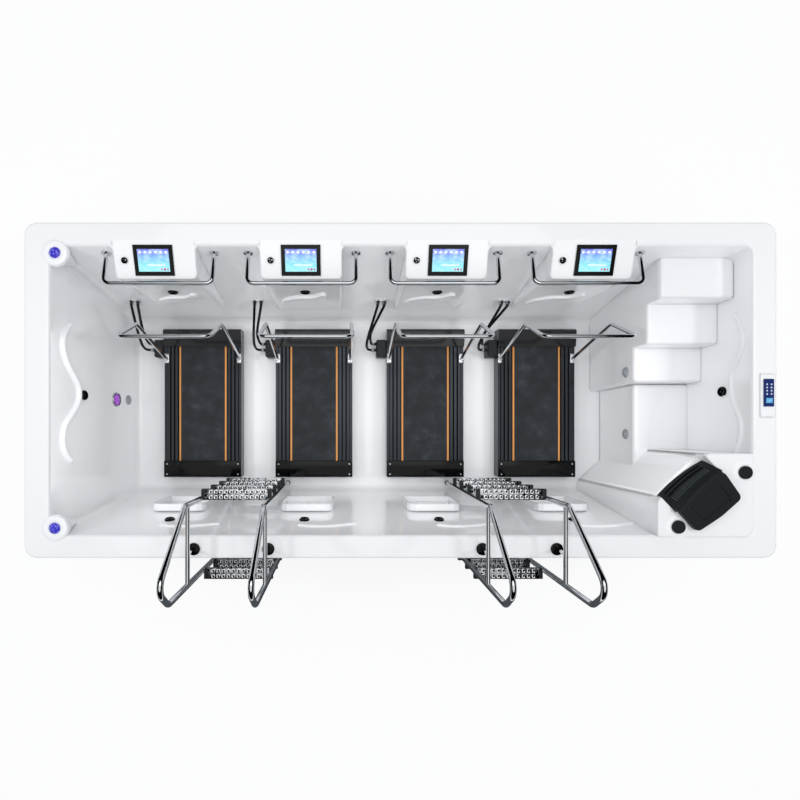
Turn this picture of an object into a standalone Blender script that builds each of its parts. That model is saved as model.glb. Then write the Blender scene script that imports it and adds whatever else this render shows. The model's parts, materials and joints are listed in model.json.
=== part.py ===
"""Four-station underwater treadmill pool: an acrylic tub on a steel frame with four water-driven
treadmills, consoles, grab rails, two entry ladders and a filter corner.

Metres, +Z up. The origin is on the ground under the middle of the tub. The consoles stand on the
+Y side, the entry ladders on the -Y side and the entry steps at the +X end.
"""
import bpy
import bmesh
from math import acos, atan, atan2, cos, hypot, pi, radians, sin, tan
from mathutils import Matrix, Vector

# Gap kept between pieces that touch
GAP = 0.0003
# Depth by which shapes that are fused run into each other
LAP = 0.0005

# Tub: rim outside, heights and wall
RIM_LENGTH = 5.600
RIM_WIDTH = 2.500
RIM_CORNER = 0.090
RIM_EDGE = 0.012
LIP_DROP = 0.050
FLOOR_Z = 0.150
DEPTH = 1.300
WALL = 0.012

# Tub: width of the rim on each side, and how far each wall leans in down to the floor
RIM_LEFT = 0.186
RIM_RIGHT = 0.180
RIM_BACK = 0.170
RIM_FRONT = 0.167
LEAN_LEFT = 0.124
LEAN_RIGHT = 0.030
LEAN_BACK = 0.280
LEAN_FRONT = 0.187
TUB_CORNER = 0.060
FLOOR_FILLET = 0.040
MOUTH_FLARE = 0.020

# Stations
STATIONS = 4
POD_PITCH = 1.098
POD_MIDDLE = -0.1955
SCREEN_PITCH = 1.106
SCREEN_MIDDLE = -0.1915
GRAB_PITCH = 1.085
GRAB_MIDDLE = -0.1995
TREADMILL_PITCH = 1.0865
TREADMILL_MIDDLE = -0.1725
HOSE_PITCH = 1.128
HOSE_MIDDLE = -0.648

# Console pods
POD_WIDTH = 0.615
POD_REACH = 0.228
POD_CORNER = 0.030
POD_FLARE = 0.040
POD_SETBACK = 0.040
POD_TILT = radians(17.0)

# Console fittings
SCREEN_WIDTH = 0.296
SCREEN_HEIGHT = 0.222
SCREEN_FLANGE = 0.014
SCREEN_BEZEL = 0.006
SCREEN_BODY = 0.030
SCREEN_SETBACK = 0.140
BUTTON_SHIFT = -0.228
BUTTON_CAP = 0.0235
BUTTON_CAP_HEIGHT = 0.009
BUTTON_STEM = 0.0130
BUTTON_LENGTH = 0.034
BUTTON_TRAVEL = 0.003
STEM_SIDES = 8

# Grab rails
GRAB_TUBE = 0.032
GRAB_SPAN = 0.824
GRAB_DROP = 0.105
GRAB_FORWARD = 0.040
GRAB_BEND = 0.050
FLANGE_RADIUS = 0.036
FLANGE_THICK = 0.008

# Relief and pockets in the front wall
POCKET_WIDTH = 0.430
POCKET_LOW = 0.280
POCKET_HIGH = 0.740
POCKET_DEPTH = 0.045
POCKET_ROUND = 0.050
JET_RADIUS = 0.032
JET_STAND = 0.010
JET_BORE = 0.016
JET_SIDES = 10
POD_JET_HEIGHT = 0.865
FRONT_JET_HEIGHT = 0.940
LEFT_JET_HEIGHT = 0.880
RIGHT_JET_HEIGHT = 1.010
END_JET_Y = -0.010

# Entry steps and bench at the right end: height over the floor and front edge of each tread
STEP_LEFT = 2.040
STEP_HEIGHTS = (1.130, 0.960, 0.780)
STEP_FRONTS = (0.730, 0.400, 0.110)
STEP_ROUND = 0.025
STEP_SLOPE = 0.025
BENCH_LEFT = 2.137
BENCH_HEIGHT = 0.610
BENCH_FRONT = -0.700

# Filter corner
FILTER_X = 2.205
FILTER_Y = -0.749
FILTER_TURN = radians(44.0)
DECK_FRONT = 0.150
DECK_HALF = 0.215
DECK_ROUND = 0.050
DECK_BACK_Y = -0.470
DECK_LEFT_X = 1.912
LOUVRE_HALF = 0.220
LOUVRE_RISE = 0.042
LOUVRE_DROP = 0.088
LOUVRE_REACH = 0.116
LOUVRE_BULGE = 0.021
LOUVRE_SKEW = 0.096
LOUVRE_STEPS = 6
RIDGE_BULGE = 0.020
LOUVRE_SKIN = 0.012
NOTCH_CLEAR = 0.004
SLOT_PLACES = (0.16, 0.34)
SLOT_SHARE = 0.76
SLOT_HEIGHT = 0.030
COMB_SHARE = 0.76
COMB_PLACES = (0.48, 0.72)
COMB_DEPTH = 0.010
LID_DEPTH = 0.212
LID_THICK = 0.022
LID_INSET = 0.006
LID_REAR_LEFT = (-0.222, -0.201)
LID_REAR_MIDDLE = (-0.016, -0.240)
LID_REAR_RIGHT = (0.190, -0.248)
LID_SHOULDER = (0.224, -0.036)
LID_ROUND = 0.038
LID_REAR_ROUND = 0.500
RECESS_SHARE = 0.62
RECESS_EDGE = 0.033
RECESS_ROUND = 0.020
RECESS_DEPTH = 0.002
TRAY_THICK = 0.018
CANISTER_RADIUS = 0.090
CANISTER_WALL = 0.004
CANISTER_DEPTH = 0.420
CANISTER_SIDES = 18
CARTRIDGE_RADIUS = 0.078
CARTRIDGE_CORE = 0.028
CARTRIDGE_HEIGHT = 0.360
PLEATS = 14
PLEAT_DEPTH = 0.010
COMB_SLOTS = 9
KNOB_RADIUS = 0.050
KNOB_HEIGHT = 0.020
KNOB_SCALLOPS = 5
KNOB_STEM = 0.012
KNOB_STEM_LENGTH = 0.040
KNOB_SPOTS = ((2.560, -0.611), (2.063, -1.015))

# Control pad on the right rim
PLINTH_WIDTH = 0.110
PLINTH_LENGTH = 0.320
PLINTH_RISE = 0.012
PLINTH_EDGE = 0.075
PLINTH_Y = -0.039
PAD_WIDTH = 0.076
PAD_LENGTH = 0.205
PAD_THICK = 0.008
PAD_SHIFT = 0.020

# Lights
LIGHT_PAD_RADIUS = 0.097
LIGHT_PAD_FOOT = 0.030
LIGHT_PAD_DROP = 0.240
LIGHT_PAD_RISE = 0.003
LIGHT_INSET_X = 0.045
LIGHT_INSET_Y = 0.058
LENS_RADIUS = 0.041
LENS_DOME = 0.016
LENS_BODY = 0.030
LENS_BODY_LENGTH = 0.030
LAMP_HEIGHT = 0.400
LAMP_Y = -0.020
LAMP_RADIUS = 0.055
LAMP_STAND = 0.010
LAMP_BODY = 0.035
LAMP_BODY_LENGTH = 0.045

# Treadmill deck
DECK_WIDTH = 0.750
DECK_REAR_Y = -0.761
DECK_FRONT_Y = 0.640
RAIL_HEIGHT = 0.136
RAIL_WIDTH = 0.138
RAIL_LEDGE = 0.023
RAIL_RIBS = 3
RAIL_RIB_RISE = 0.006
REAR_COVER_LENGTH = 0.160
REAR_COVER_RISE = 0.008
COVER_WALL = 0.005
BOARD_THICK = 0.020

# Running belt and rollers
BELT_WIDTH = 0.464
BELT_THICK = 0.003
BELT_TOP = 0.130
DRIVE_RADIUS = 0.035
TAIL_RADIUS = 0.028
DRIVE_Y = 0.545
TAIL_Y = -0.672
ROLLER_SIDES = 12
BELT_ARC_STEPS = 5
JOURNAL_RADIUS = 0.012
JOURNAL_SIDES = 10
JOURNAL_REACH = 0.030

# Motor hood
HOOD_WALL = 0.003
HOOD_REAR_Y = 0.510
HOOD_FRONT_Y = 0.680
HOOD_REAR_RISE = 0.152
HOOD_CREST_RISE = 0.174
HOOD_CREST_SETBACK = 0.022
HOOD_SKIRT = 0.020

# Water motor on the left of the deck
MOTOR_WIDTH = 0.098
MOTOR_REAR_Y = 0.412
MOTOR_FRONT_Y = 0.580
MOTOR_HEIGHT = 0.140
MOTOR_FOOT = 0.004
MOTOR_EDGE = 0.010
PORT_RADIUS = 0.014
PORT_LENGTH = 0.022
PORT_RISE = 0.092
PORT_YS = (0.485, 0.545)

# Hoses
HOSE_RADIUS = 0.0105
HOSE_SPACING = 0.060
HOSE_BLOCK_RISE = 0.430
HOSE_BLOCK_SIZE = (0.100, 0.012, 0.038)
HOSE_COLLAR = (0.0165, 0.036)
HOSE_BOW = (0.090, 0.170)
HOSE_TURN = (0.010, 0.045)

# Treadmill handrail
BAR_TUBE = 0.032
BAR_EDGE = 0.017
BAR_FOOT_Y = 0.397
BAR_KNEE_Y = 0.588
BAR_KNEE_RISE = 0.839
BAR_TOP_Y = 0.419
BAR_TOP_RISE = 1.205
BAR_KNEE_BEND = 0.030
BAR_TOP_BEND = 0.060
BAR_FOOT_PLATE = (0.044, 0.090, 0.006)

# Entry ladders
LADDER_XS = (-1.260, 0.885)
LADDER_SPAN = 0.553
LADDER_TUBE = 0.040
LADDER_INNER_Y = -0.831
LADDER_OUTER_Y = -1.405
LADDER_SHOULDER_Z = 1.660
LADDER_TOP_Y = -1.260
LADDER_TOP_Z = 2.180
LADDER_ELBOW_Z = 1.990
LADDER_BAR_Z = 1.600
LADDER_SHOULDER_BEND = 0.080
LADDER_TOP_BEND = 0.085
LADDER_ELBOW_BEND = 0.090
RIM_FOOT_Y = -1.180
RIM_FOOT_RADIUS = 0.046
RIM_FOOT_THICK = 0.012
RIM_FOOT_TUBE = 0.026
TREAD_DEPTH = 0.088
TREAD_THICK = 0.030
TREAD_STEP = 0.275
TREADS = 4
TREAD_TOP_INNER = 1.275
TREAD_TOP_OUTER = 1.200
TREAD_PROUD = 0.012
TIP_RADIUS = 0.0235
TIP_HEIGHT = 0.040

# Support frame and cabinet
TUBE = 0.060
POST = 0.040
FRAME_INSET = 0.078
CROSS_BEARERS = 6
POSTS_LONG = 4
WELD_STEP = 0.002
PANEL = 0.016
PANEL_INSET = 0.014
PANEL_GROUND = 0.015
PANEL_GROOVE = 0.006
PANEL_GROOVES = 2

# Circulation pump under the steps
PUMP_X = 2.360
PUMP_Y = 0.560
PUMP_RADIUS = 0.075
PUMP_LENGTH = 0.260
PUMP_HEAD_RADIUS = 0.095
PUMP_HEAD_LENGTH = 0.090
PUMP_FOOT = (0.130, 0.280, 0.020)

# Values that follow from the sizes above
RIM_Z = FLOOR_Z + DEPTH
HALF_L = RIM_LENGTH / 2
HALF_W = RIM_WIDTH / 2
POD_FRONT = HALF_W - RIM_BACK - POD_REACH
SLOPE_START = HALF_W - RIM_BACK + POD_SETBACK
DECK_HALF_W = DECK_WIDTH / 2
DECK_Z = FLOOR_Z + GAP


def row_of(middle, pitch):
    """Places along X of what repeats once a station."""
    return [middle + (i - (STATIONS - 1) / 2) * pitch for i in range(STATIONS)]


POD_XS = row_of(POD_MIDDLE, POD_PITCH)
SCREEN_XS = row_of(SCREEN_MIDDLE, SCREEN_PITCH)
GRAB_XS = row_of(GRAB_MIDDLE, GRAB_PITCH)
TREADMILL_XS = row_of(TREADMILL_MIDDLE, TREADMILL_PITCH)
HOSE_XS = row_of(HOSE_MIDDLE, HOSE_PITCH)


PLINTH_X = HALF_L - PLINTH_EDGE


def clear_scene():
    """Remove what the scene holds, so that the model stands alone."""
    for obj in list(bpy.data.objects):
        bpy.data.objects.remove(obj, do_unlink=True)


def new_collection(name):
    found = bpy.data.collections.new(name)
    bpy.context.scene.collection.children.link(found)
    return found


clear_scene()
PARTS = new_collection("underwater_treadmill_pool")
CUTTERS = new_collection("cutters")


def material(name, colour, roughness, metallic=0.0):
    """A plain finish: linear colour, roughness and metallic value."""
    made = bpy.data.materials.new(name)
    made.use_nodes = True
    shader = made.node_tree.nodes["Principled BSDF"]
    shader.inputs["Base Color"].default_value = (*colour, 1.0)
    shader.inputs["Roughness"].default_value = roughness
    shader.inputs["Metallic"].default_value = metallic
    return made


ACRYLIC = material("white_acrylic", (0.88, 0.89, 0.90), 0.15)
CHROME = material("polished_stainless", (0.75, 0.76, 0.78), 0.10, 1.0)
FRAME_STEEL = material("galvanised_steel", (0.45, 0.46, 0.47), 0.45, 1.0)
CABINET = material("grey_cabinet_panel", (0.35, 0.36, 0.37), 0.60)
BLACK = material("black_moulding", (0.018, 0.020, 0.022), 0.45)
GLOSS_BLACK = material("black_enamel", (0.010, 0.011, 0.012), 0.15)
ALLOY = material("anodised_rail", (0.045, 0.055, 0.070), 0.30, 0.8)
BELT_RUBBER = material("belt_rubber", (0.025, 0.028, 0.032), 0.75)
GLASS_BLUE = material("display_glass", (0.20, 0.62, 0.85), 0.10)
NAVY = material("navy_keypad", (0.010, 0.025, 0.140), 0.30)
LENS_BLUE = material("violet_lens", (0.10, 0.08, 0.60), 0.10)
LENS_MAGENTA = material("magenta_lens", (0.45, 0.05, 0.70), 0.10)
FILTER_WHITE = material("filter_fleece", (0.80, 0.82, 0.84), 0.90)


def new_object(name, mesh, finish=None, home=None):
    obj = bpy.data.objects.new(name, mesh)
    (home or CUTTERS).objects.link(obj)
    if finish:
        obj.data.materials.clear()
        obj.data.materials.append(finish)
    return obj


def as_tool(obj):
    """Mark a shape as a cutter or filler that isn't itself a part."""
    obj.hide_render = True
    obj.display_type = "WIRE"
    return obj


def mesh_from_bmesh(name, bm):
    bmesh.ops.recalc_face_normals(bm, faces=bm.faces)
    mesh = bpy.data.meshes.new(name)
    bm.to_mesh(mesh)
    bm.free()
    return mesh


def box(name, low, high):
    """A cuboid between two corners."""
    bm = bmesh.new()
    bmesh.ops.create_cube(bm, size=1.0)
    low, high = Vector(low), Vector(high)
    size = high - low
    bmesh.ops.scale(bm, vec=size, verts=bm.verts)
    bmesh.ops.translate(bm, vec=(low + high) / 2, verts=bm.verts)
    return as_tool(new_object(name, mesh_from_bmesh(name, bm)))


def drum(name, radius, length, place, sides=24, top_radius=None):
    """A cylinder or cone along local Z of a placement matrix, centred on it."""
    bm = bmesh.new()
    top = radius if top_radius is None else top_radius
    bmesh.ops.create_cone(bm, cap_ends=True, segments=sides, radius1=radius, radius2=top,
                          depth=length, matrix=place)
    return as_tool(new_object(name, mesh_from_bmesh(name, bm)))


def ring_loop(bm, points):
    """A closed loop of edges through the points."""
    verts = [bm.verts.new(p) for p in points]
    return [bm.edges.new((verts[i - 1], verts[i])) for i in range(len(verts))]


def loft(name, sections):
    """A closed body through like outlines, one above the other."""
    bm = bmesh.new()
    loops = [ring_loop(bm, section) for section in sections]
    for below, above in zip(loops, loops[1:]):
        bmesh.ops.bridge_loops(bm, edges=below + above)
    bmesh.ops.contextual_create(bm, geom=loops[0])
    bmesh.ops.contextual_create(bm, geom=loops[-1])
    return as_tool(new_object(name, mesh_from_bmesh(name, bm)))


def mesh_of(obj, name):
    """The object's evaluated shape as a mesh object in the same place, with its caps welded."""
    bpy.context.view_layer.update()
    graph = bpy.context.evaluated_depsgraph_get()
    mesh = bpy.data.meshes.new_from_object(obj.evaluated_get(graph))
    bm = bmesh.new()
    bm.from_mesh(mesh)
    bmesh.ops.remove_doubles(bm, verts=bm.verts, dist=0.00002)
    bmesh.ops.recalc_face_normals(bm, faces=bm.faces)
    bm.to_mesh(mesh)
    bm.free()
    made = new_object(name, mesh)
    made.matrix_world = obj.matrix_world
    bpy.data.objects.remove(obj, do_unlink=True)
    return as_tool(made)


def prism(name, outline, start, end, place=None):
    """A flat outline in local XY, extruded from start to end along local Z."""
    curve = bpy.data.curves.new(name, "CURVE")
    curve.dimensions = "2D"
    curve.fill_mode = "BOTH"
    curve.extrude = (end - start) / 2
    spline = curve.splines.new("POLY")
    spline.points.add(len(outline) - 1)
    for point, (x, y) in zip(spline.points, outline):
        point.co = (x, y, 0.0, 1.0)
    spline.use_cyclic_u = True
    obj = new_object(name + "_outline", curve)
    made = mesh_of(obj, name)
    shift = Matrix.Translation((0, 0, (start + end) / 2))
    made.data.transform((place or Matrix.Identity(4)) @ shift)
    return made


# An outline in local XY is laid in the world's YZ plane and extruded along X
YZ_PLANE = Matrix(((0, 0, 1, 0), (1, 0, 0, 0), (0, 1, 0, 0), (0, 0, 0, 1)))
# An outline in local XY is laid in the world's XZ plane and extruded along -Y
XZ_PLANE = Matrix(((1, 0, 0, 0), (0, 0, -1, 0), (0, 1, 0, 0), (0, 0, 0, 1)))


def arc(cx, cy, radius, start, end, steps):
    """Points on an arc, angles in degrees."""
    angles = [radians(start + (end - start) * i / steps) for i in range(steps + 1)]
    return [(cx + radius * cos(a), cy + radius * sin(a)) for a in angles]


def rounded_rectangle(x0, x1, y0, y1, radius, steps=3):
    corners = ((x1 - radius, y0 + radius, -90), (x1 - radius, y1 - radius, 0),
               (x0 + radius, y1 - radius, 90), (x0 + radius, y0 + radius, 180))
    return [p for cx, cy, a in corners for p in arc(cx, cy, radius, a, a + 90, steps)]


def rounded_outline(corners, radii, steps):
    """A closed outline with each corner rounded by its radius, or left sharp at radius 0."""
    points = []
    for i, (here, radius) in enumerate(zip(corners, radii)):
        before = Vector(corners[i - 1])
        after = Vector(corners[(i + 1) % len(corners)])
        path = fillet_path([before.to_3d(), Vector(here).to_3d(), after.to_3d()], [radius], steps)
        points += [(p.x, p.y) for p in path[1:-1]] if radius else [tuple(here)]
    return points


def fillet_path(corners, radii, steps):
    """A polyline through corner points, each inner corner rounded by its radius."""
    corners = [Vector(c) for c in corners]
    points = [corners[0]]
    for before, here, after, radius in zip(corners, corners[1:], corners[2:], radii):
        into = (here - before).normalized()
        out = (after - here).normalized()
        turn = acos(max(-1.0, min(1.0, into.dot(out))))
        reach = radius * tan(turn / 2)
        start = here - into * reach
        centre = start + (out - into * into.dot(out)).normalized() * radius
        axis = into.cross(out).normalized()
        for i in range(steps + 1):
            spin = Matrix.Rotation(turn * i / steps, 3, axis)
            points.append(centre + spin @ (start - centre))
    points.append(corners[-1])
    return points


def tube(name, points, radius, resolution=2):
    """A round tube through the points with filled ends, as a mesh."""
    curve = bpy.data.curves.new(name, "CURVE")
    curve.dimensions = "3D"
    curve.bevel_depth = radius
    curve.bevel_resolution = resolution
    curve.use_fill_caps = True
    spline = curve.splines.new("POLY")
    spline.points.add(len(points) - 1)
    for point, place in zip(spline.points, points):
        point.co = (*place, 1.0)
    obj = new_object(name + "_path", curve)
    return mesh_of(obj, name)


def bevel(obj, width, segments=2, angle=radians(30)):
    made = obj.modifiers.new("edge", "BEVEL")
    made.width = width
    made.segments = segments
    made.limit_method = "ANGLE"
    made.angle_limit = angle
    return mesh_of(obj, obj.name.split(".")[0] + "_soft")


def combine(base, tools, operation):
    """Fuse tools with the base, or cut them from it, one by one."""
    for tool in tools:
        step = base.modifiers.new(operation.lower(), "BOOLEAN")
        step.operation = operation
        step.solver = "EXACT"
        step.object = tool
        base = mesh_of(base, base.name)
        bpy.data.objects.remove(tool, do_unlink=True)
    return base


def fuse(base, tools):
    return combine(base, tools, "UNION")


def cut(base, tools):
    return combine(base, tools, "DIFFERENCE")


def finish_part(name, obj, finish, pivot=None, smooth_angle=radians(32)):
    """Turn a shape into a part: name, finish, shading, and origin on its joint's axis."""
    mesh = obj.data
    mesh.transform(obj.matrix_world)
    spot = Vector(pivot) if pivot else Vector((0, 0, 0))
    mesh.transform(Matrix.Translation(-spot))
    made = bpy.data.objects.new(name, mesh)
    made.location = spot
    PARTS.objects.link(made)
    bpy.data.objects.remove(obj, do_unlink=True)
    mesh.name = name
    mesh.materials.clear()
    mesh.materials.append(finish)
    mesh.shade_smooth()
    mesh.set_sharp_from_angle(angle=smooth_angle)
    return made


def clear_radius(radius, sides):
    """Radius of a faceted bore that a round piece of the given radius turns in."""
    return (radius + GAP) / cos(pi / sides)


def axis_x(x, y, z):
    return Matrix.Translation((x, y, z)) @ Matrix.Rotation(pi / 2, 4, "Y")


def axis_y(x, y, z):
    return Matrix.Translation((x, y, z)) @ Matrix.Rotation(pi / 2, 4, "X")


def axis_z(x, y, z):
    return Matrix.Translation((x, y, z))


# Where the inside of each tub wall lies at a height

def lean(z):
    return (RIM_Z - z) / DEPTH


def wall_left(z):
    return -HALF_L + RIM_LEFT + LEAN_LEFT * lean(z)


def wall_right(z):
    return HALF_L - RIM_RIGHT - LEAN_RIGHT * lean(z)


def wall_back(z):
    return HALF_W - RIM_BACK - LEAN_BACK * lean(z)


def wall_front(z):
    return -HALF_W + RIM_FRONT + LEAN_FRONT * lean(z)


def tub_section(z, grow, height=None):
    """Outline of the tub's inside at a height, grown outwards, laid at that or another height."""
    outline = rounded_rectangle(wall_left(z) - grow, wall_right(z) + grow, wall_front(z) - grow,
                                wall_back(z) + grow, TUB_CORNER + grow)
    level = z if height is None else height
    return [(x, y, level) for x, y in outline]


def rim_section(inset, z):
    outline = rounded_rectangle(-HALF_L + inset, HALF_L - inset, -HALF_W + inset, HALF_W - inset,
                                RIM_CORNER - inset)
    return [(x, y, z) for x, y in outline]


def on_wall(wall, along, z):
    """Placement on a wall's inside: local Z out of the wall into the pool."""
    back_turn = atan(LEAN_BACK / DEPTH)
    front_turn = atan(LEAN_FRONT / DEPTH)
    left_turn = atan(LEAN_LEFT / DEPTH)
    right_turn = atan(LEAN_RIGHT / DEPTH)
    if wall == "back":
        return Matrix.Translation((along, wall_back(z), z)) @ Matrix.Rotation(pi / 2 - back_turn, 4, "X")
    if wall == "front":
        return Matrix.Translation((along, wall_front(z), z)) @ Matrix.Rotation(front_turn - pi / 2, 4, "X")
    if wall == "left":
        return Matrix.Translation((wall_left(z), along, z)) @ Matrix.Rotation(pi / 2 - left_turn, 4, "Y")
    if wall == "right":
        return Matrix.Translation((wall_right(z), along, z)) @ Matrix.Rotation(right_turn - pi / 2, 4, "Y")
    return Matrix.Translation((along, POD_FRONT, z)) @ Matrix.Rotation(pi / 2, 4, "X")


# Console pods

def pod_plan(x, half, front, back, corner, flare):
    """Plan of a pod: round front corners, and sides that flare out where they meet the wall."""
    root = HALF_W - RIM_BACK
    right = [(half + flare, back), (half + flare, root + flare / 2)]
    right += arc(half + flare, root - flare, flare, 90, 180, 3)
    right += arc(half - corner, front + corner, corner, 0, -90, 3)
    left = [(-px, py) for px, py in reversed(right)]
    return [(x + px, py) for px, py in right + left]


def slope_z(y):
    """Height of the sloping pod top at a place across the rim."""
    return RIM_Z - max(0.0, SLOPE_START - y) * tan(POD_TILT)


def pod_block(x, inset):
    """A pod's solid, or with an inset the hollow behind its wall."""
    half = POD_WIDTH / 2 - inset
    front = POD_FRONT + inset
    foot_lean = (POD_FRONT - WALL / 2 - (HALF_W - RIM_BACK - LEAN_BACK)) / LEAN_BACK
    foot = FLOOR_Z + DEPTH * foot_lean
    back = SLOPE_START + 4 * LAP + inset
    if inset:
        plan = [(x + half, back), (x + half, front), (x - half, front), (x - half, back)]
    else:
        plan = pod_plan(x, half, front, back, POD_CORNER, POD_FLARE)
    block = prism("pod", plan, foot, RIM_Z + WALL)
    drop = LAP + inset + (LAP if inset else 0)
    far = HALF_W + RIM_BACK
    near = POD_FRONT - POD_REACH
    over = [(near, slope_z(near) - drop), (SLOPE_START, RIM_Z - drop), (far, RIM_Z - drop),
            (far, RIM_Z + DEPTH), (near, RIM_Z + DEPTH)]
    span = POD_WIDTH
    wedge = prism("pod_slope", over, x - span, x + span, YZ_PLANE)
    return cut(block, [wedge])


def console_frame(x, y):
    """Placement on the sloping pod top, local Z square to it."""
    return Matrix.Translation((x, y, slope_z(y) - LAP)) @ Matrix.Rotation(POD_TILT, 4, "X")


SCREEN_Y = SLOPE_START - SCREEN_SETBACK


def console_cutters(x, screen_x):
    """Openings for the screen's body and the button's stem."""
    frame = console_frame(screen_x, SCREEN_Y)
    half_x = SCREEN_WIDTH / 2 - SCREEN_FLANGE + GAP
    half_y = SCREEN_HEIGHT / 2 - SCREEN_FLANGE + GAP
    hole = box("screen_hole", (-half_x, -half_y, -3 * SCREEN_BODY), (half_x, half_y, SCREEN_BODY))
    hole.data.transform(frame)
    button = console_frame(x + BUTTON_SHIFT, SCREEN_Y)
    bore = drum("button_hole", BUTTON_STEM + GAP, 4 * WALL, button, STEM_SIDES)
    return [hole, bore]


# Jets in the walls

def jet(place):
    return drum("jet", JET_RADIUS, 2 * JET_STAND, place, JET_SIDES, JET_RADIUS * 0.86)


def jet_bore(place):
    over = place @ Matrix.Translation((0, 0, JET_STAND))
    return drum("jet_bore", JET_BORE, 2 * JET_STAND - LAP, over, JET_SIDES // 2)


def jet_places():
    places = [on_wall("pod", x, FLOOR_Z + POD_JET_HEIGHT) for x in POD_XS]
    places += [on_wall("front", x, FLOOR_Z + FRONT_JET_HEIGHT) for x in POD_XS]
    places.append(on_wall("left", END_JET_Y, FLOOR_Z + LEFT_JET_HEIGHT))
    places.append(on_wall("right", END_JET_Y, FLOOR_Z + RIGHT_JET_HEIGHT))
    return places


# The tub

def rim_and_walls():
    """The rim with its turned-down lip, and the tub hanging from it, still solid."""
    low = RIM_Z - LIP_DROP
    sections = [rim_section(0, low), rim_section(0, RIM_Z - RIM_EDGE)]
    for i in range(1, 4):
        turn = radians(30 * i)
        sections.append(rim_section(RIM_EDGE * (1 - cos(turn)), RIM_Z - RIM_EDGE * (1 - sin(turn))))
    rim = loft("rim", sections)
    under = loft("rim_under", [rim_section(WALL, low - WALL), rim_section(WALL, RIM_Z - WALL)])
    rim = cut(rim, [under])
    bottom = FLOOR_Z - WALL
    outer = loft("tub_outer", [tub_section(FLOOR_Z, WALL, bottom), tub_section(RIM_Z, WALL, RIM_Z - LAP)])
    return fuse(rim, [outer])


def cavity():
    """The water space of the tub: round where it meets the floor and at its mouth."""
    sections = []
    for i in range(3):
        turn = radians(45 * i)
        z = FLOOR_Z + FLOOR_FILLET * (1 - cos(turn))
        sections.append(tub_section(z, -FLOOR_FILLET * (1 - sin(turn))))
    for i in range(3):
        turn = radians(45 * i)
        z = RIM_Z - MOUTH_FLARE * (1 - sin(turn))
        sections.append(tub_section(z, MOUTH_FLARE * (1 - cos(turn))))
    sections.append(tub_section(RIM_Z, MOUTH_FLARE, RIM_Z + WALL))
    return loft("cavity", sections)


def step_bodies():
    """The entry steps and the bench, filled from the floor up."""
    back = HALF_W - RIM_BACK + WALL / 2
    right = HALF_L - RIM_RIGHT + WALL / 2
    low = FLOOR_Z - WALL / 2
    bodies = []
    for height, front in zip(STEP_HEIGHTS, STEP_FRONTS):
        top = FLOOR_Z + height
        side = [(front - STEP_SLOPE, low), (front, top), (back, top), (back, low)]
        step = prism("step", side, STEP_LEFT, right, YZ_PLANE)
        bodies.append(bevel(step, STEP_ROUND, 2))
    bench = box("bench", (BENCH_LEFT, BENCH_FRONT, low), (right, STEP_FRONTS[-1], FLOOR_Z + BENCH_HEIGHT))
    bodies.append(bevel(bench, STEP_ROUND, 2))
    return bodies


def step_hollows():
    """The space under the steps and the bench, open below and behind."""
    back = HALF_W - RIM_BACK + 2 * WALL
    right = HALF_L - RIM_RIGHT + 2 * WALL
    low = FLOOR_Z - 2 * WALL
    hollows = []
    for height, front in zip(STEP_HEIGHTS, STEP_FRONTS):
        hollows.append(box("step_hollow", (STEP_LEFT + WALL, front + WALL, low),
                           (right, back, FLOOR_Z + height - WALL)))
    hollows.append(box("bench_hollow", (BENCH_LEFT + WALL, BENCH_FRONT + WALL, low),
                       (right, STEP_FRONTS[-1] + 2 * WALL, FLOOR_Z + BENCH_HEIGHT - WALL)))
    return hollows


def filter_place(a, b, z=0.0):
    """World place of a point a along the filter's ridge and b towards the pool."""
    ca, sa = cos(FILTER_TURN), sin(FILTER_TURN)
    return (FILTER_X + a * ca - b * sa, FILTER_Y + a * sa + b * ca, z)


FILTER_FRAME = Matrix.Translation((FILTER_X, FILTER_Y, 0)) @ Matrix.Rotation(FILTER_TURN, 4, "Z")


def corner_deck(inset, low, high):
    """The flat deck that fills the filter corner, or with an inset the space under it."""
    right = HALF_L - RIM_RIGHT + WALL / 2
    front = -HALF_W + RIM_FRONT - WALL / 2
    near = filter_place(DECK_HALF, DECK_FRONT - inset)
    far = filter_place(-DECK_HALF, DECK_FRONT - inset)
    corner = TUB_CORNER + WALL / 2
    if inset:
        right += 2 * WALL
        front -= 2 * WALL
    left = DECK_LEFT_X + inset
    turn = DECK_ROUND - inset
    corners = [(right, front), (right, DECK_BACK_Y - inset), (near[0] + inset, DECK_BACK_Y - inset),
               near[:2], far[:2], (left, far[1] - inset), (left, front)]
    radii = [corner, 0, turn, turn, turn, turn, 0]
    return prism("corner_deck", rounded_outline(corners, radii, 3), low, high)


def louvre_notch():
    """The step in the deck's front edge that the louvre lies in."""
    half = LOUVRE_HALF + NOTCH_CLEAR
    notch = box("louvre_notch", (-half, -NOTCH_CLEAR, RIM_Z - LOUVRE_DROP - NOTCH_CLEAR),
                (half, DECK_FRONT + WALL, RIM_Z + LIP_DROP))
    notch.data.transform(FILTER_FRAME)
    return notch


CANISTER_B = -LID_DEPTH / 2


def canister_axis(z):
    x, y, _ = filter_place(0, CANISTER_B)
    return axis_z(x, y, z)


def light_spots():
    x = -HALF_L + RIM_LEFT + LIGHT_INSET_X
    return ((x, HALF_W - RIM_BACK - LIGHT_INSET_Y), (x, -HALF_W + RIM_FRONT + LIGHT_INSET_Y))


def light_pad(x, y):
    height = LIGHT_PAD_DROP + LIGHT_PAD_RISE
    middle = RIM_Z + LIGHT_PAD_RISE - height / 2
    return drum("light_pad", LIGHT_PAD_FOOT, height, axis_z(x, y, middle), 12, LIGHT_PAD_RADIUS)


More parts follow.
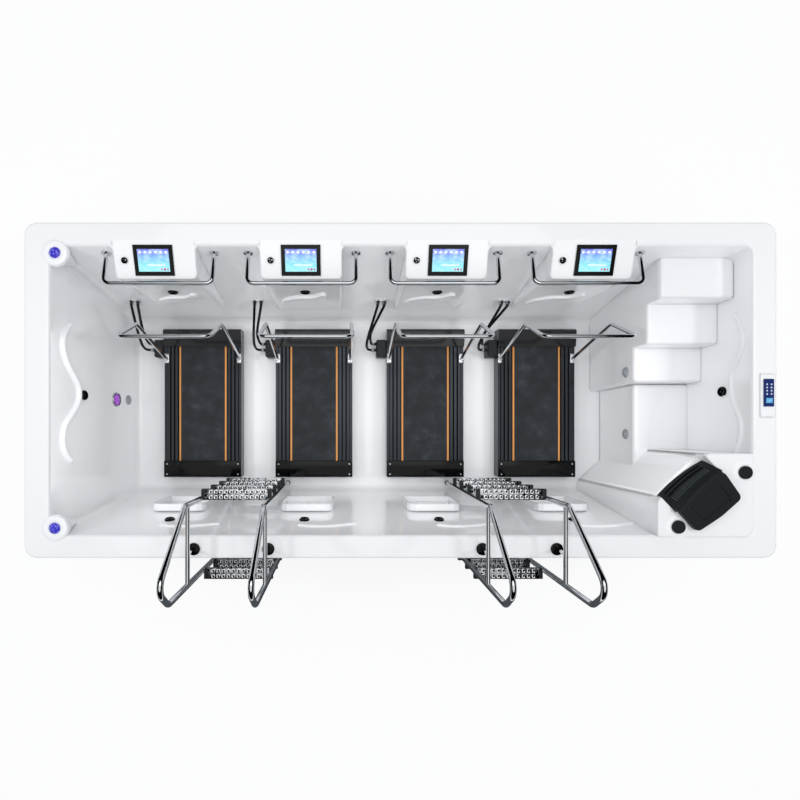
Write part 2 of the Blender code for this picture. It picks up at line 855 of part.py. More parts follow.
def front_pocket(x, grow):
    """A foot pocket low in the front wall, with round upper corners, or its wall grown outside it."""
    low = FLOOR_Z + POCKET_LOW - grow
    high = FLOOR_Z + POCKET_HIGH + grow
    half = POCKET_WIDTH / 2 + grow
    turn = POCKET_ROUND + grow
    outline = [(x - half, low), (x + half, low)]
    outline += arc(x + half - turn, high - turn, turn, 0, 90, 2)
    outline += arc(x - half + turn, high - turn, turn, 90, 180, 2)
    back = POCKET_DEPTH - wall_front(low) + grow
    near = -wall_front(low) - WALL / 2 if grow else -wall_front(low) - 2 * WALL
    return prism("pocket", outline, near, back, XZ_PLANE)


def behind_wall(face):
    """Everything outside the tub's back wall (face 1) or front wall (face -1), below the rim."""
    low = FLOOR_Z - 2 * WALL
    high = slope_z(HALF_W - RIM_BACK) - 2 * WALL
    wall = wall_back if face > 0 else wall_front
    skin = face * (WALL + LAP)
    outline = [(wall(low) + skin, low), (wall(high) + skin, high), (face * HALF_W, high),
               (face * HALF_W, low)]
    return prism("behind_wall", outline, -HALF_L, HALF_L, YZ_PLANE)


def pool_shell():
    shell = cut(rim_and_walls(), [cavity()])
    notches = [box("pod_notch", (x - POD_WIDTH / 2 + LAP, POD_FRONT, RIM_Z - LIP_DROP * 2),
                   (x + POD_WIDTH / 2 - LAP, SLOPE_START, RIM_Z + WALL)) for x in POD_XS]
    shell = cut(shell, notches)
    shell = fuse(shell, [pod_block(x, 0) for x in POD_XS])
    shell = cut(shell, [pod_block(x, WALL) for x in POD_XS])
    shell = fuse(shell, step_bodies())
    shell = cut(shell, step_hollows())
    shell = fuse(shell, [corner_deck(0, FLOOR_Z - WALL / 2, RIM_Z - LAP)])
    shell = cut(shell, [corner_deck(WALL, FLOOR_Z - 2 * WALL, RIM_Z - LOUVRE_DROP - 2 * WALL)])
    shell = cut(shell, [louvre_notch(), behind_wall(1), behind_wall(-1)])
    shell = fuse(shell, [front_pocket(x, WALL) for x in POD_XS])
    shell = cut(shell, [front_pocket(x, 0) for x in POD_XS])
    shell = cut(shell, [drum("canister_hole", clear_radius(CANISTER_RADIUS, CANISTER_SIDES),
                             LIP_DROP + 2 * LOUVRE_DROP, canister_axis(RIM_Z), CANISTER_SIDES)])
    stem = clear_radius(KNOB_STEM, STEM_SIDES)
    length = 2 * KNOB_STEM_LENGTH + 2 * WALL
    shell = cut(shell, [drum("knob_hole", stem, length, axis_z(x, y, RIM_Z), STEM_SIDES)
                        for x, y in KNOB_SPOTS])
    shell = fuse(shell, [light_pad(x, y) for x, y in light_spots()])
    lens = clear_radius(LENS_BODY, STEM_SIDES)
    shell = cut(shell, [drum("lens_hole", lens, 2 * LENS_BODY_LENGTH + 4 * GAP,
                             axis_z(x, y, RIM_Z + LIGHT_PAD_RISE), STEM_SIDES) for x, y in light_spots()])
    lamp = on_wall("left", LAMP_Y, FLOOR_Z + LAMP_HEIGHT)
    shell = cut(shell, [drum("lamp_hole", clear_radius(LAMP_BODY, STEM_SIDES), 6 * WALL, lamp, STEM_SIDES)])
    plinth = box("plinth", (PLINTH_X - PLINTH_WIDTH / 2, PLINTH_Y - PLINTH_LENGTH / 2, RIM_Z - WALL / 2),
                 (PLINTH_X + PLINTH_WIDTH / 2, PLINTH_Y + PLINTH_LENGTH / 2, RIM_Z + PLINTH_RISE))
    shell = fuse(shell, [bevel(plinth, PLINTH_RISE / 2, 2)])
    shell = fuse(shell, [jet(place) for place in jet_places()])
    shell = cut(shell, [jet_bore(place) for place in jet_places()])
    holes = [cutter for spots in zip(POD_XS, SCREEN_XS) for cutter in console_cutters(*spots)]
    shell = cut(shell, holes)
    return finish_part("pool_shell", shell, ACRYLIC)


# Consoles: screens, start buttons and grab rails

def screen(number, x):
    """A display: flat bezel over the pod, body through the opening."""
    frame = console_frame(x, SCREEN_Y)
    half_x, half_y = SCREEN_WIDTH / 2, SCREEN_HEIGHT / 2
    bezel = box("bezel", (-half_x, -half_y, GAP), (half_x, half_y, SCREEN_BEZEL + GAP))
    bezel = bevel(bezel, SCREEN_BEZEL / 3, 1)
    half_x -= SCREEN_FLANGE
    half_y -= SCREEN_FLANGE
    body = box("screen_body", (-half_x, -half_y, -SCREEN_BODY), (half_x, half_y, SCREEN_BEZEL / 2))
    made = fuse(bezel, [body])
    made.data.transform(frame)
    finish_part(f"screen_{number}", made, GLASS_BLUE)


def start_button(number, x):
    """A push button: cap over the pod, stem in its bore; it presses in square to the pod."""
    frame = console_frame(x + BUTTON_SHIFT, SCREEN_Y)
    low = BUTTON_TRAVEL + GAP
    cap = drum("cap", BUTTON_CAP, BUTTON_CAP_HEIGHT, axis_z(0, 0, low + BUTTON_CAP_HEIGHT / 2), 12,
               BUTTON_CAP * 0.9)
    stem = drum("stem", BUTTON_STEM, BUTTON_LENGTH,
                axis_z(0, 0, low + BUTTON_CAP_HEIGHT / 2 - BUTTON_LENGTH / 2), STEM_SIDES)
    made = fuse(cap, [stem])
    made.data.transform(frame)
    finish_part(f"start_button_{number}", made, CHROME, frame.translation)


GRAB_ROOT_Z = RIM_Z - GRAB_DROP
GRAB_Y = POD_FRONT - GRAB_FORWARD


def grab_rail(number, x):
    """A U of tube in front of the console, with a round flange on the wall at each end."""
    half = GRAB_SPAN / 2
    root = wall_back(GRAB_ROOT_Z) - FLANGE_THICK
    top = GRAB_ROOT_Z + (root - GRAB_Y) * LEAN_BACK / DEPTH
    corners = [(x - half, root, GRAB_ROOT_Z), (x - half, GRAB_Y, top),
               (x + half, GRAB_Y, top), (x + half, root, GRAB_ROOT_Z)]
    rail = tube("rail", fillet_path(corners, [GRAB_BEND] * 2, 3), GRAB_TUBE / 2, 2)
    flanges = []
    for side in (-half, half):
        seat = on_wall("back", x + side, GRAB_ROOT_Z) @ Matrix.Translation((0, 0, GAP + FLANGE_THICK / 2))
        flanges.append(drum("flange", FLANGE_RADIUS, FLANGE_THICK, seat, 10))
    rail = fuse(rail, flanges)
    finish_part(f"grab_rail_{number}", rail, CHROME)


# Treadmills

def rail_outline():
    """Cross-section of a side rail from its outer foot: flat ledge, then rounded ribs."""
    outer = DECK_HALF_W
    inner = DECK_HALF_W - RAIL_WIDTH
    crest = RAIL_HEIGHT
    valley = RAIL_HEIGHT - RAIL_RIB_RISE
    outline = [(inner, 0), (outer, 0), (outer, valley), (outer - RAIL_LEDGE, valley)]
    ribbed = outer - RAIL_LEDGE - inner
    pitch = ribbed / RAIL_RIBS
    for i in range(RAIL_RIBS):
        start = outer - RAIL_LEDGE - pitch * i
        outline += [(start - pitch * 0.20, crest), (start - pitch * 0.80, crest),
                    (start - pitch, valley)]
    return outline


def treadmill_deck(number, x):
    """Side rails, slide board, front cross piece and rear cover in one frame."""
    outline = rail_outline()
    mirrored = [(-px, pz) for px, pz in reversed(outline)]
    inner = DECK_HALF_W - RAIL_WIDTH
    rails = [prism("rail", [(x + px, DECK_Z + pz) for px, pz in side], -DECK_FRONT_Y, -DECK_REAR_Y - WALL,
                   XZ_PLANE) for side in (outline, mirrored)]
    board_top = DECK_Z + BELT_TOP - BELT_THICK - GAP
    board = box("board", (x - inner - LAP, TAIL_Y + 3 * TAIL_RADIUS, board_top - BOARD_THICK),
                (x + inner + LAP, DRIVE_Y - 3 * DRIVE_RADIUS, board_top))
    cross = box("cross", (x - inner - LAP, DECK_FRONT_Y - TUBE / 2, DECK_Z + WALL),
                (x + inner + LAP, DECK_FRONT_Y - LAP, DECK_Z + TUBE))
    top = DECK_Z + RAIL_HEIGHT + REAR_COVER_RISE
    cover = box("cover", (x - DECK_HALF_W - LAP, DECK_REAR_Y, DECK_Z),
                (x + DECK_HALF_W + LAP, DECK_REAR_Y + REAR_COVER_LENGTH, top))
    cover = bevel(cover, REAR_COVER_RISE, 2)
    space = box("cover_space", (x - inner, DECK_REAR_Y + COVER_WALL, DECK_Z - WALL),
                (x + inner, DECK_REAR_Y + REAR_COVER_LENGTH + WALL, top - COVER_WALL))
    cover = cut(cover, [space])
    deck = fuse(rails[0], [board, rails[1], cross, cover])
    bores = [drum("bore", clear_radius(JOURNAL_RADIUS, JOURNAL_SIDES), DECK_WIDTH - 2 * WALL,
                  axis_x(x, TAIL_Y, roller_z(TAIL_RADIUS)), JOURNAL_SIDES),
             drum("bore", clear_radius(JOURNAL_RADIUS, JOURNAL_SIDES), DECK_WIDTH - WALL,
                  axis_x(x - WALL, DRIVE_Y, roller_z(DRIVE_RADIUS)), JOURNAL_SIDES)]
    deck = cut(deck, bores)
    finish_part(f"treadmill_deck_{number}", deck, ALLOY)


def roller_z(radius):
    """Height of a roller's axis, so that the belt's top run lies level."""
    return DECK_Z + BELT_TOP - BELT_THICK - GAP - radius


def drive_roller(number, x):
    """Rubber-lagged roller whose left journal reaches into the water motor."""
    half = BELT_WIDTH / 2
    z = roller_z(DRIVE_RADIUS)
    roller = drum("roller", DRIVE_RADIUS, BELT_WIDTH, axis_x(x, DRIVE_Y, z), ROLLER_SIDES)
    left = DECK_HALF_W + HOOD_WALL + MOTOR_WIDTH / 2
    right = half + JOURNAL_REACH
    journal = drum("journal", JOURNAL_RADIUS, left + right, axis_x(x + (right - left) / 2, DRIVE_Y, z),
                   JOURNAL_SIDES)
    finish_part(f"drive_roller_{number}", fuse(roller, [journal]), FRAME_STEEL, (x, DRIVE_Y, z))


def tail_roller(number, x):
    half = BELT_WIDTH / 2 + JOURNAL_REACH
    z = roller_z(TAIL_RADIUS)
    roller = drum("roller", TAIL_RADIUS, BELT_WIDTH, axis_x(x, TAIL_Y, z), ROLLER_SIDES)
    journal = drum("journal", JOURNAL_RADIUS, 2 * half, axis_x(x, TAIL_Y, z), JOURNAL_SIDES)
    finish_part(f"tail_roller_{number}", fuse(roller, [journal]), FRAME_STEEL, (x, TAIL_Y, z))


def belt_loop(extra):
    """Side view of the belt round both rollers, as (y, z), a little outside them."""
    drive = Vector((DRIVE_Y, roller_z(DRIVE_RADIUS)))
    tail = Vector((TAIL_Y, roller_z(TAIL_RADIUS)))
    half_step = pi / (2 * BELT_ARC_STEPS)
    grow = (1 / cos(half_step), extra)
    radii = [(r + GAP) * grow[0] + grow[1] for r in (DRIVE_RADIUS, TAIL_RADIUS)]
    along = tail - drive
    heading = atan2(along.y, along.x)
    spread = acos((radii[0] - radii[1]) / along.length)
    top = heading - spread
    bottom = heading + spread
    loop = []
    steps = BELT_ARC_STEPS
    for centre, radius, start, end in ((drive, radii[0], bottom - 2 * pi, top),
                                       (tail, radii[1], top, bottom)):
        for i in range(steps + 1):
            turn = start + (end - start) * i / steps
            loop.append((centre.x + radius * cos(turn), centre.y + radius * sin(turn)))
    return loop


def running_belt(number, x):
    """The endless belt: a thin band round the slide board and both rollers."""
    half = BELT_WIDTH / 2
    band = prism("belt", belt_loop(BELT_THICK), x - half, x + half, YZ_PLANE)
    inside = prism("belt_inside", belt_loop(0), x - half - WALL, x + half + WALL, YZ_PLANE)
    finish_part(f"running_belt_{number}", cut(band, [inside]), BELT_RUBBER)


def hood_outline(inset):
    """Side view of the motor hood; with an inset, of the space under it."""
    rear = HOOD_REAR_Y - (WALL if inset else 0)
    low = HOOD_SKIRT - (2 * HOOD_SKIRT if inset else 0)
    crest_y = HOOD_FRONT_Y - HOOD_CREST_SETBACK
    outline = [(rear, low), (HOOD_FRONT_Y - inset, low), (HOOD_FRONT_Y - inset, HOOD_REAR_RISE - inset),
               (crest_y, HOOD_CREST_RISE - inset), (rear, HOOD_REAR_RISE - inset)]
    return [(y, DECK_Z + z) for y, z in outline]


def motor_hood(number, x):
    """Folded cover over the drive roller, open below and at the back, notched for the shaft."""
    half = DECK_HALF_W + GAP
    hood = prism("hood", hood_outline(0), x - half - HOOD_WALL, x + half + HOOD_WALL, YZ_PLANE)
    inside = prism("hood_inside", hood_outline(HOOD_WALL), x - half, x + half, YZ_PLANE)
    z = roller_z(DRIVE_RADIUS)
    wide = 2 * JOURNAL_RADIUS
    notch = box("shaft_notch", (x - half - WALL, DRIVE_Y - wide, DECK_Z - WALL),
                (x - half + WALL / 2, DRIVE_Y + wide, z + wide))
    finish_part(f"motor_hood_{number}", cut(hood, [inside, notch]), GLOSS_BLACK)


def motor_right(x):
    """Right face of the water motor, beside the hood's wall."""
    return x - DECK_HALF_W - HOOD_WALL - 2 * GAP


def drive_motor(number, x):
    """Water motor in its case beside the deck, with two hose ports and the shaft's bore."""
    right = motor_right(x)
    left = right - MOTOR_WIDTH
    case = box("case", (left, MOTOR_REAR_Y, FLOOR_Z + MOTOR_FOOT),
               (right, MOTOR_FRONT_Y, FLOOR_Z + MOTOR_HEIGHT))
    case = bevel(case, MOTOR_EDGE, 1)
    foot = box("foot", (left + MOTOR_EDGE, MOTOR_REAR_Y + MOTOR_EDGE, FLOOR_Z + GAP),
               (right - MOTOR_EDGE, MOTOR_FRONT_Y - MOTOR_EDGE, FLOOR_Z + 2 * MOTOR_FOOT))
    ports = [drum("port", PORT_RADIUS, PORT_LENGTH + MOTOR_EDGE,
                  axis_x(left - (PORT_LENGTH - MOTOR_EDGE) / 2, y, FLOOR_Z + PORT_RISE), 8)
             for y in PORT_YS]
    case = fuse(case, [foot] + ports)
    bore = drum("shaft_bore", clear_radius(JOURNAL_RADIUS, JOURNAL_SIDES), MOTOR_WIDTH + 4 * GAP + WALL,
                axis_x(right, DRIVE_Y, roller_z(DRIVE_RADIUS)), JOURNAL_SIDES)
    finish_part(f"drive_motor_{number}", cut(case, [bore]), BLACK)


def smooth_path(corners, spacing):
    """Points spaced along a smooth curve through the route's corners."""
    route = [Vector(c) for c in corners]
    ends = [2 * route[0] - route[1]] + route + [2 * route[-1] - route[-2]]
    points = []
    for p0, p1, p2, p3 in zip(ends, ends[1:], ends[2:], ends[3:]):
        count = max(1, round((p2 - p1).length / spacing))
        for i in range(count):
            t = i / count
            points.append(0.5 * (2 * p1 + (p2 - p0) * t + (2 * p0 - 5 * p1 + 4 * p2 - p3) * t ** 2
                                 + (3 * p1 - p0 - 3 * p2 + p3) * t ** 3))
    points.append(route[-1])
    return points


def hose_pair(number, x, block_x):
    """Two hoses from a plate with two collars on the wall down to the motor's ports."""
    z = FLOOR_Z + HOSE_BLOCK_RISE
    wide, thick, high = HOSE_BLOCK_SIZE
    seat = on_wall("back", block_x, z)
    block = box("block", (-wide / 2, -high / 2, GAP), (wide / 2, high / 2, thick))
    block.data.transform(seat)
    block = bevel(block, thick / 5, 1)
    port_x = motor_right(x) - MOTOR_WIDTH - PORT_LENGTH - GAP
    port_z = FLOOR_Z + PORT_RISE
    hoses = []
    collar_radius, collar_length = HOSE_COLLAR
    for side, port_y in zip((1, -1), reversed(PORT_YS)):
        across = side * HOSE_SPACING / 2
        middle = seat @ Matrix.Translation((across, 0, (collar_length + thick) / 2))
        hoses.append(drum("collar", collar_radius, collar_length, middle, 8))
        start = seat @ Vector((across, 0, thick / 2))
        lead = seat @ Vector((across, 0, thick + 4 * HOSE_RADIUS))
        hang = 3.2 * HOSE_RADIUS + (1 - side) * 1.6 * HOSE_RADIUS
        bow, turn = (Vector((port_x - hang, port_y + along, port_z + rise))
                     for along, rise in (HOSE_BOW, HOSE_TURN))
        near = Vector((port_x - 1.6 * HOSE_RADIUS, port_y, port_z))
        route = [start, lead, bow, turn, near, Vector((port_x, port_y, port_z))]
        hoses.append(tube("hose", smooth_path(route, 8 * HOSE_RADIUS), HOSE_RADIUS, 1))
    finish_part(f"hose_pair_{number}", fuse(block, hoses), BLACK)


def handrail(number, x):
    """One bent tube: forward legs, a knee, and the bar across the walker's front."""
    half = DECK_HALF_W - BAR_EDGE
    foot_z = DECK_Z + RAIL_HEIGHT + GAP
    side = [(BAR_FOOT_Y, foot_z + BAR_FOOT_PLATE[2] / 2), (BAR_KNEE_Y, FLOOR_Z + BAR_KNEE_RISE),
            (BAR_TOP_Y, FLOOR_Z + BAR_TOP_RISE)]
    corners = [(x - half, y, z) for y, z in side] + [(x + half, y, z) for y, z in reversed(side)]
    bends = [BAR_KNEE_BEND, BAR_TOP_BEND, BAR_TOP_BEND, BAR_KNEE_BEND]
    bar = tube("bar", fillet_path(corners, bends, 2), BAR_TUBE / 2, 2)
    wide, long, thick = BAR_FOOT_PLATE
    plates = []
    for face in (-1, 1):
        near, far = sorted((face * (DECK_HALF_W - GAP), face * (DECK_HALF_W - wide)))
        plates.append(box("plate", (x + near, BAR_FOOT_Y - long / 2, foot_z),
                          (x + far, BAR_FOOT_Y + long / 2, foot_z + thick)))
    finish_part(f"handrail_{number}", fuse(bar, plates), CHROME)


# Filter corner

def bowed(a, bulge):
    """How far a bowed edge stands out at a place along the filter."""
    return bulge * (1 - (a / LOUVRE_HALF) ** 2)


def louvre_section(a):
    """Cross-section of the louvre face across the ridge, at a place along it."""
    crest = RIM_Z + LOUVRE_RISE
    low = RIM_Z - LOUVRE_DROP
    near = bowed(a, RIDGE_BULGE)
    far = LOUVRE_REACH + bowed(a, LOUVRE_BULGE) - LOUVRE_SKEW * a
    return [(a, near, low), (a, far, low), (a, far, low + LOUVRE_SKIN), (a, near + LOUVRE_SKIN, crest),
            (a, near, crest)]


def louvre_groove(start, end, low_share, high_share, depth, steps):
    """A cutter that follows the louvre's slope between two shares of it, from its foot up."""
    sections = []
    for i in range(steps + 1):
        a = start + (end - start) * i / steps
        foot, head = (Vector(p) for p in louvre_section(a)[2:4])
        out = (head - foot).cross(Vector((1, 0, 0))).normalized() * depth
        first, last = (foot.lerp(head, share) for share in (low_share, high_share))
        sections.append([first - out, last - out, last + out, first + out])
    return loft("groove", sections)


def lid_outline(clear):
    """Plan of the lid: bowed edge that far behind the ridge, and round corners at the rear."""
    half = LOUVRE_HALF - LID_INSET
    corners = [LID_REAR_LEFT, LID_REAR_MIDDLE, LID_REAR_RIGHT, LID_SHOULDER]
    radii = [LID_ROUND, LID_REAR_ROUND, LID_ROUND, LID_ROUND] + [0] * (LOUVRE_STEPS + 1)
    ridge = [half - 2 * half * i / LOUVRE_STEPS for i in range(LOUVRE_STEPS + 1)]
    corners += [(a, bowed(a, RIDGE_BULGE) - clear) for a in ridge]
    return rounded_outline(corners, radii, 3)


def filter_housing():
    """Skimmer: tray under the lid, canister below it, and the louvre face towards the pool."""
    bottom = RIM_Z + GAP
    tray = prism("tray", lid_outline(-LAP), bottom, bottom + TRAY_THICK)
    ends = [LOUVRE_HALF * (2 * i / LOUVRE_STEPS - 1) for i in range(LOUVRE_STEPS + 1)]
    body = fuse(tray, [loft("louvre", [louvre_section(a) for a in ends])])
    reach = LOUVRE_HALF * SLOT_SHARE
    slots = [louvre_groove(-reach, reach, share - SLOT_HEIGHT, share + SLOT_HEIGHT,
                           LOUVRE_SKIN, LOUVRE_STEPS) for share in SLOT_PLACES]
    pitch = 2 * LOUVRE_HALF * COMB_SHARE / COMB_SLOTS
    for i in range(COMB_SLOTS):
        middle = (i - (COMB_SLOTS - 1) / 2) * pitch
        slots.append(louvre_groove(middle - pitch / 4, middle + pitch / 4, *COMB_PLACES, COMB_DEPTH, 1))
    body = cut(body, slots)
    body.data.transform(FILTER_FRAME)
    top = bottom + TRAY_THICK / 2
    middle = top - CANISTER_DEPTH / 2
    canister = drum("canister", CANISTER_RADIUS, CANISTER_DEPTH, canister_axis(middle), CANISTER_SIDES)
    body = fuse(body, [canister])
    bore = drum("canister_bore", CANISTER_RADIUS - CANISTER_WALL, CANISTER_DEPTH + TRAY_THICK,
                canister_axis(middle + CANISTER_WALL + TRAY_THICK / 2), CANISTER_SIDES)
    finish_part("filter_housing", cut(body, [bore]), BLACK)


def filter_lid():
    """Lid over the canister; it lifts straight off."""
    half = LOUVRE_HALF - LID_INSET
    bottom = RIM_Z + TRAY_THICK + 2 * GAP
    rear = LID_DEPTH
    outline = lid_outline(LAP)
    edge = LID_THICK / 4
    sections = []
    for below, inset in ((LID_THICK, 0), (edge, 0), (edge * 0.3, edge * 0.3), (0, edge)):
        shrink_x = 1 - inset / half
        shrink_y = 1 - 2 * inset / rear
        sections.append([(px * shrink_x, -rear / 2 + (py + rear / 2) * shrink_y, bottom + LID_THICK - below)
                         for px, py in outline])
    lid = loft("lid", sections)
    recess = prism("lid_recess", rounded_rectangle(-half * RECESS_SHARE, half * RECESS_SHARE,
                                                   RECESS_EDGE - rear, -RECESS_EDGE, RECESS_ROUND),
                   bottom + LID_THICK - RECESS_DEPTH, bottom + 2 * LID_THICK)
    lid = cut(lid, [recess])
    lid.data.transform(FILTER_FRAME)
    finish_part("filter_lid", lid, BLACK)


def filter_cartridge():
    """Pleated cartridge standing in the canister."""
    outline = []
    for i in range(2 * PLEATS):
        radius = CARTRIDGE_RADIUS - (PLEAT_DEPTH if i % 2 else 0)
        turn = pi * i / PLEATS
        outline.append((radius * cos(turn), radius * sin(turn)))
    bottom = RIM_Z + 2 * GAP + TRAY_THICK / 2 - CANISTER_DEPTH + CANISTER_WALL
    body = prism("cartridge", outline, bottom, bottom + CARTRIDGE_HEIGHT)
    x, y, _ = filter_place(0, CANISTER_B)
    body.data.transform(Matrix.Translation((x, y, 0)))
    core = drum("core", CARTRIDGE_CORE, 3 * CARTRIDGE_HEIGHT, canister_axis(bottom), 12)
    finish_part("filter_cartridge", cut(body, [core]), FILTER_WHITE)


def diverter_knob(number, x, y):
    """Round knob with finger scallops on a stem through the deck."""
    bottom = RIM_Z + GAP
    knob = drum("knob", KNOB_RADIUS, KNOB_HEIGHT, axis_z(x, y, bottom + KNOB_HEIGHT / 2), 15,
                KNOB_RADIUS * 0.94)
    knob = bevel(knob, KNOB_HEIGHT / 6, 1)
    scallops = []
    for i in range(KNOB_SCALLOPS):
        turn = 2 * pi * i / KNOB_SCALLOPS
        reach = KNOB_RADIUS * 1.06
        scallops.append(drum("scallop", KNOB_RADIUS * 0.14, 2 * KNOB_HEIGHT,
                             axis_z(x + reach * cos(turn), y + reach * sin(turn), bottom + KNOB_HEIGHT), 6))
    knob = cut(knob, scallops)
    stem = drum("stem", KNOB_STEM, KNOB_STEM_LENGTH + KNOB_HEIGHT / 2,
                axis_z(x, y, bottom + KNOB_HEIGHT / 4 - KNOB_STEM_LENGTH / 2), STEM_SIDES)
    finish_part(f"diverter_knob_{number}", fuse(knob, [stem]), BLACK, (x, y, bottom))


def control_panel():
    bottom = RIM_Z + PLINTH_RISE + GAP
    y = PLINTH_Y + PAD_SHIFT
    pad = box("pad", (PLINTH_X - PAD_WIDTH / 2, y - PAD_LENGTH / 2, bottom),
              (PLINTH_X + PAD_WIDTH / 2, y + PAD_LENGTH / 2, bottom + PAD_THICK))
    finish_part("control_panel", bevel(pad, PAD_THICK / 3, 1), NAVY)


# Lights

def dome(name, radius, height, steps=2, sides=14):
    """A lens cap turned from an arc, flat below, standing on its base at Z = 0."""
    curvature = (radius ** 2 + height ** 2) / (2 * height)
    sweep = acos((curvature - height) / curvature)
    sections = []
    for i in range(steps):
        turn = sweep * (1 - i / steps)
        r = curvature * sin(turn)
        z = curvature * cos(turn) - (curvature - height)
        ring = arc(0, 0, r, 0, 360 - 360 / sides, sides - 1)
        sections.append([(px, py, z) for px, py in ring])
    ring = arc(0, 0, radius, 0, 360 - 360 / sides, sides - 1)
    sections.insert(0, [(px, py, -height / 4) for px, py in ring])
    return loft(name, sections)


def corner_light(number, x, y):
    base = RIM_Z + LIGHT_PAD_RISE + GAP
    lens = dome("lens", LENS_RADIUS, LENS_DOME)
    lens.data.transform(axis_z(x, y, base + LENS_DOME / 4))
    body = drum("lens_body", LENS_BODY, LENS_BODY_LENGTH + LENS_DOME / 8,
                axis_z(x, y, base - LENS_BODY_LENGTH / 2 + LENS_DOME / 16), STEM_SIDES)
    finish_part(f"corner_light_{number}", fuse(lens, [body]), LENS_BLUE)


def led_light():
    """Underwater lamp in the left wall, its body through the wall."""
    seat = on_wall("left", LAMP_Y, FLOOR_Z + LAMP_HEIGHT)
    lamp = dome("lamp", LAMP_RADIUS, LAMP_STAND)
    lamp.data.transform(seat @ Matrix.Translation((0, 0, GAP + LAMP_STAND / 4)))
    body = drum("lamp_body", LAMP_BODY, LAMP_BODY_LENGTH,
                seat @ Matrix.Translation((0, 0, LAMP_STAND / 2 - LAMP_BODY_LENGTH / 2)), STEM_SIDES)
    finish_part("led_light", fuse(lamp, [body]), LENS_MAGENTA)


# Entry ladders

def ladder(number, x):
    """A free-standing ladder over the rim: two bent side frames joined by treads inside and out."""
    foot = FLOOR_Z + GAP + TIP_HEIGHT / 2
    ground = TIP_HEIGHT / 2
    side = [(LADDER_INNER_Y, foot), (LADDER_INNER_Y, LADDER_SHOULDER_Z), (LADDER_TOP_Y, LADDER_TOP_Z),
            (LADDER_OUTER_Y, LADDER_ELBOW_Z), (LADDER_OUTER_Y, ground)]
    bends = [LADDER_SHOULDER_BEND, LADDER_TOP_BEND, LADDER_ELBOW_BEND]
    half = LADDER_SPAN / 2
    radius = LADDER_TUBE / 2
    frames = []
    for s in (-half, half):
        path = fillet_path([(x + s, y, z) for y, z in side], bends, 3)
        frames.append(tube("side_frame", path, radius, 2))
        bar = [(x + s, LADDER_INNER_Y, LADDER_BAR_Z), (x + s, LADDER_OUTER_Y, LADDER_BAR_Z)]
        frames.append(tube("rim_bar", bar, radius * 0.8, 1))
        post = [(x + s, RIM_FOOT_Y, RIM_Z + RIM_FOOT_THICK / 2), (x + s, RIM_FOOT_Y, LADDER_BAR_Z)]
        frames.append(tube("rim_post", post, RIM_FOOT_TUBE / 2, 1))
        frames.append(drum("rim_foot", RIM_FOOT_RADIUS, RIM_FOOT_THICK,
                           axis_z(x + s, RIM_FOOT_Y, RIM_Z + GAP + RIM_FOOT_THICK / 2), 12))
        for y, low in ((LADDER_INNER_Y, FLOOR_Z + GAP), (LADDER_OUTER_Y, 0)):
            frames.append(drum("tip", TIP_RADIUS, TIP_HEIGHT, axis_z(x + s, y, low + TIP_HEIGHT / 2), 8))
    treads = []
    for i in range(TREADS):
        for y, top, reach in ((LADDER_INNER_Y, TREAD_TOP_INNER, 1), (LADDER_OUTER_Y, TREAD_TOP_OUTER, -1)):
            z = top - TREAD_STEP * i
            near = y - reach * TREAD_PROUD
            far = near + reach * TREAD_DEPTH
            treads.append(box("tread", (x - half, min(near, far), z - TREAD_THICK),
                              (x + half, max(near, far), z)))
    body = fuse(frames[0], frames[1:] + treads)
    finish_part(f"ladder_{number}", body, CHROME)


# Support frame, cabinet and pump

def support_frame():
    """Welded base ring and bearers under the tub, with posts up to the rim."""
    long = HALF_L - FRAME_INSET
    wide = HALF_W - FRAME_INSET
    deck_top = FLOOR_Z - WALL - GAP
    beams = []
    for y in (-wide + TUBE / 2, 0, wide - TUBE / 2):
        beams.append(box("rail", (-long, y - TUBE / 2, 0), (long, y + TUBE / 2, TUBE)))
    spread = long - TUBE / 2 - WELD_STEP
    bearers = [(i / (CROSS_BEARERS - 1) * 2 - 1) * spread for i in range(CROSS_BEARERS)]
    for x in bearers + [PUMP_X]:
        beams.append(box("bearer", (x - TUBE / 2, -wide + WELD_STEP, TUBE - WELD_STEP),
                         (x + TUBE / 2, wide - WELD_STEP, deck_top)))
    top = RIM_Z - WALL - GAP
    post_y = wide - POST / 2 - 2 * WELD_STEP
    post_x = long - POST / 2 - 2 * WELD_STEP
    for i in range(POSTS_LONG):
        x = (i / (POSTS_LONG - 1) * 2 - 1) * post_x
        for y in (-post_y, post_y):
            beams.append(box("post", (x - POST / 2, y - POST / 2, TUBE / 2),
                             (x + POST / 2, y + POST / 2, top - POST / 2)))
    for y in (-post_y, post_y):
        beams.append(box("head", (-post_x, y - POST / 2 - WELD_STEP, top - POST),
                         (post_x, y + POST / 2 + WELD_STEP, top)))
    for x in (-post_x, post_x):
        beams.append(box("head", (x - POST / 2 - WELD_STEP, -post_y, top - POST + WELD_STEP),
                         (x + POST / 2 + WELD_STEP, post_y, top - WELD_STEP)))
    body = fuse(beams[0], beams[1:])
    finish_part("support_frame", body, FRAME_STEEL)


def cabinet_wrap(inset, low, high):
    """The cabinet's plan at an inset from the rim's edge, extruded between two heights."""
    x = HALF_L - inset
    y = HALF_W - inset
    return prism("wrap", rounded_rectangle(-x, x, -y, y, RIM_CORNER - inset), low, high)


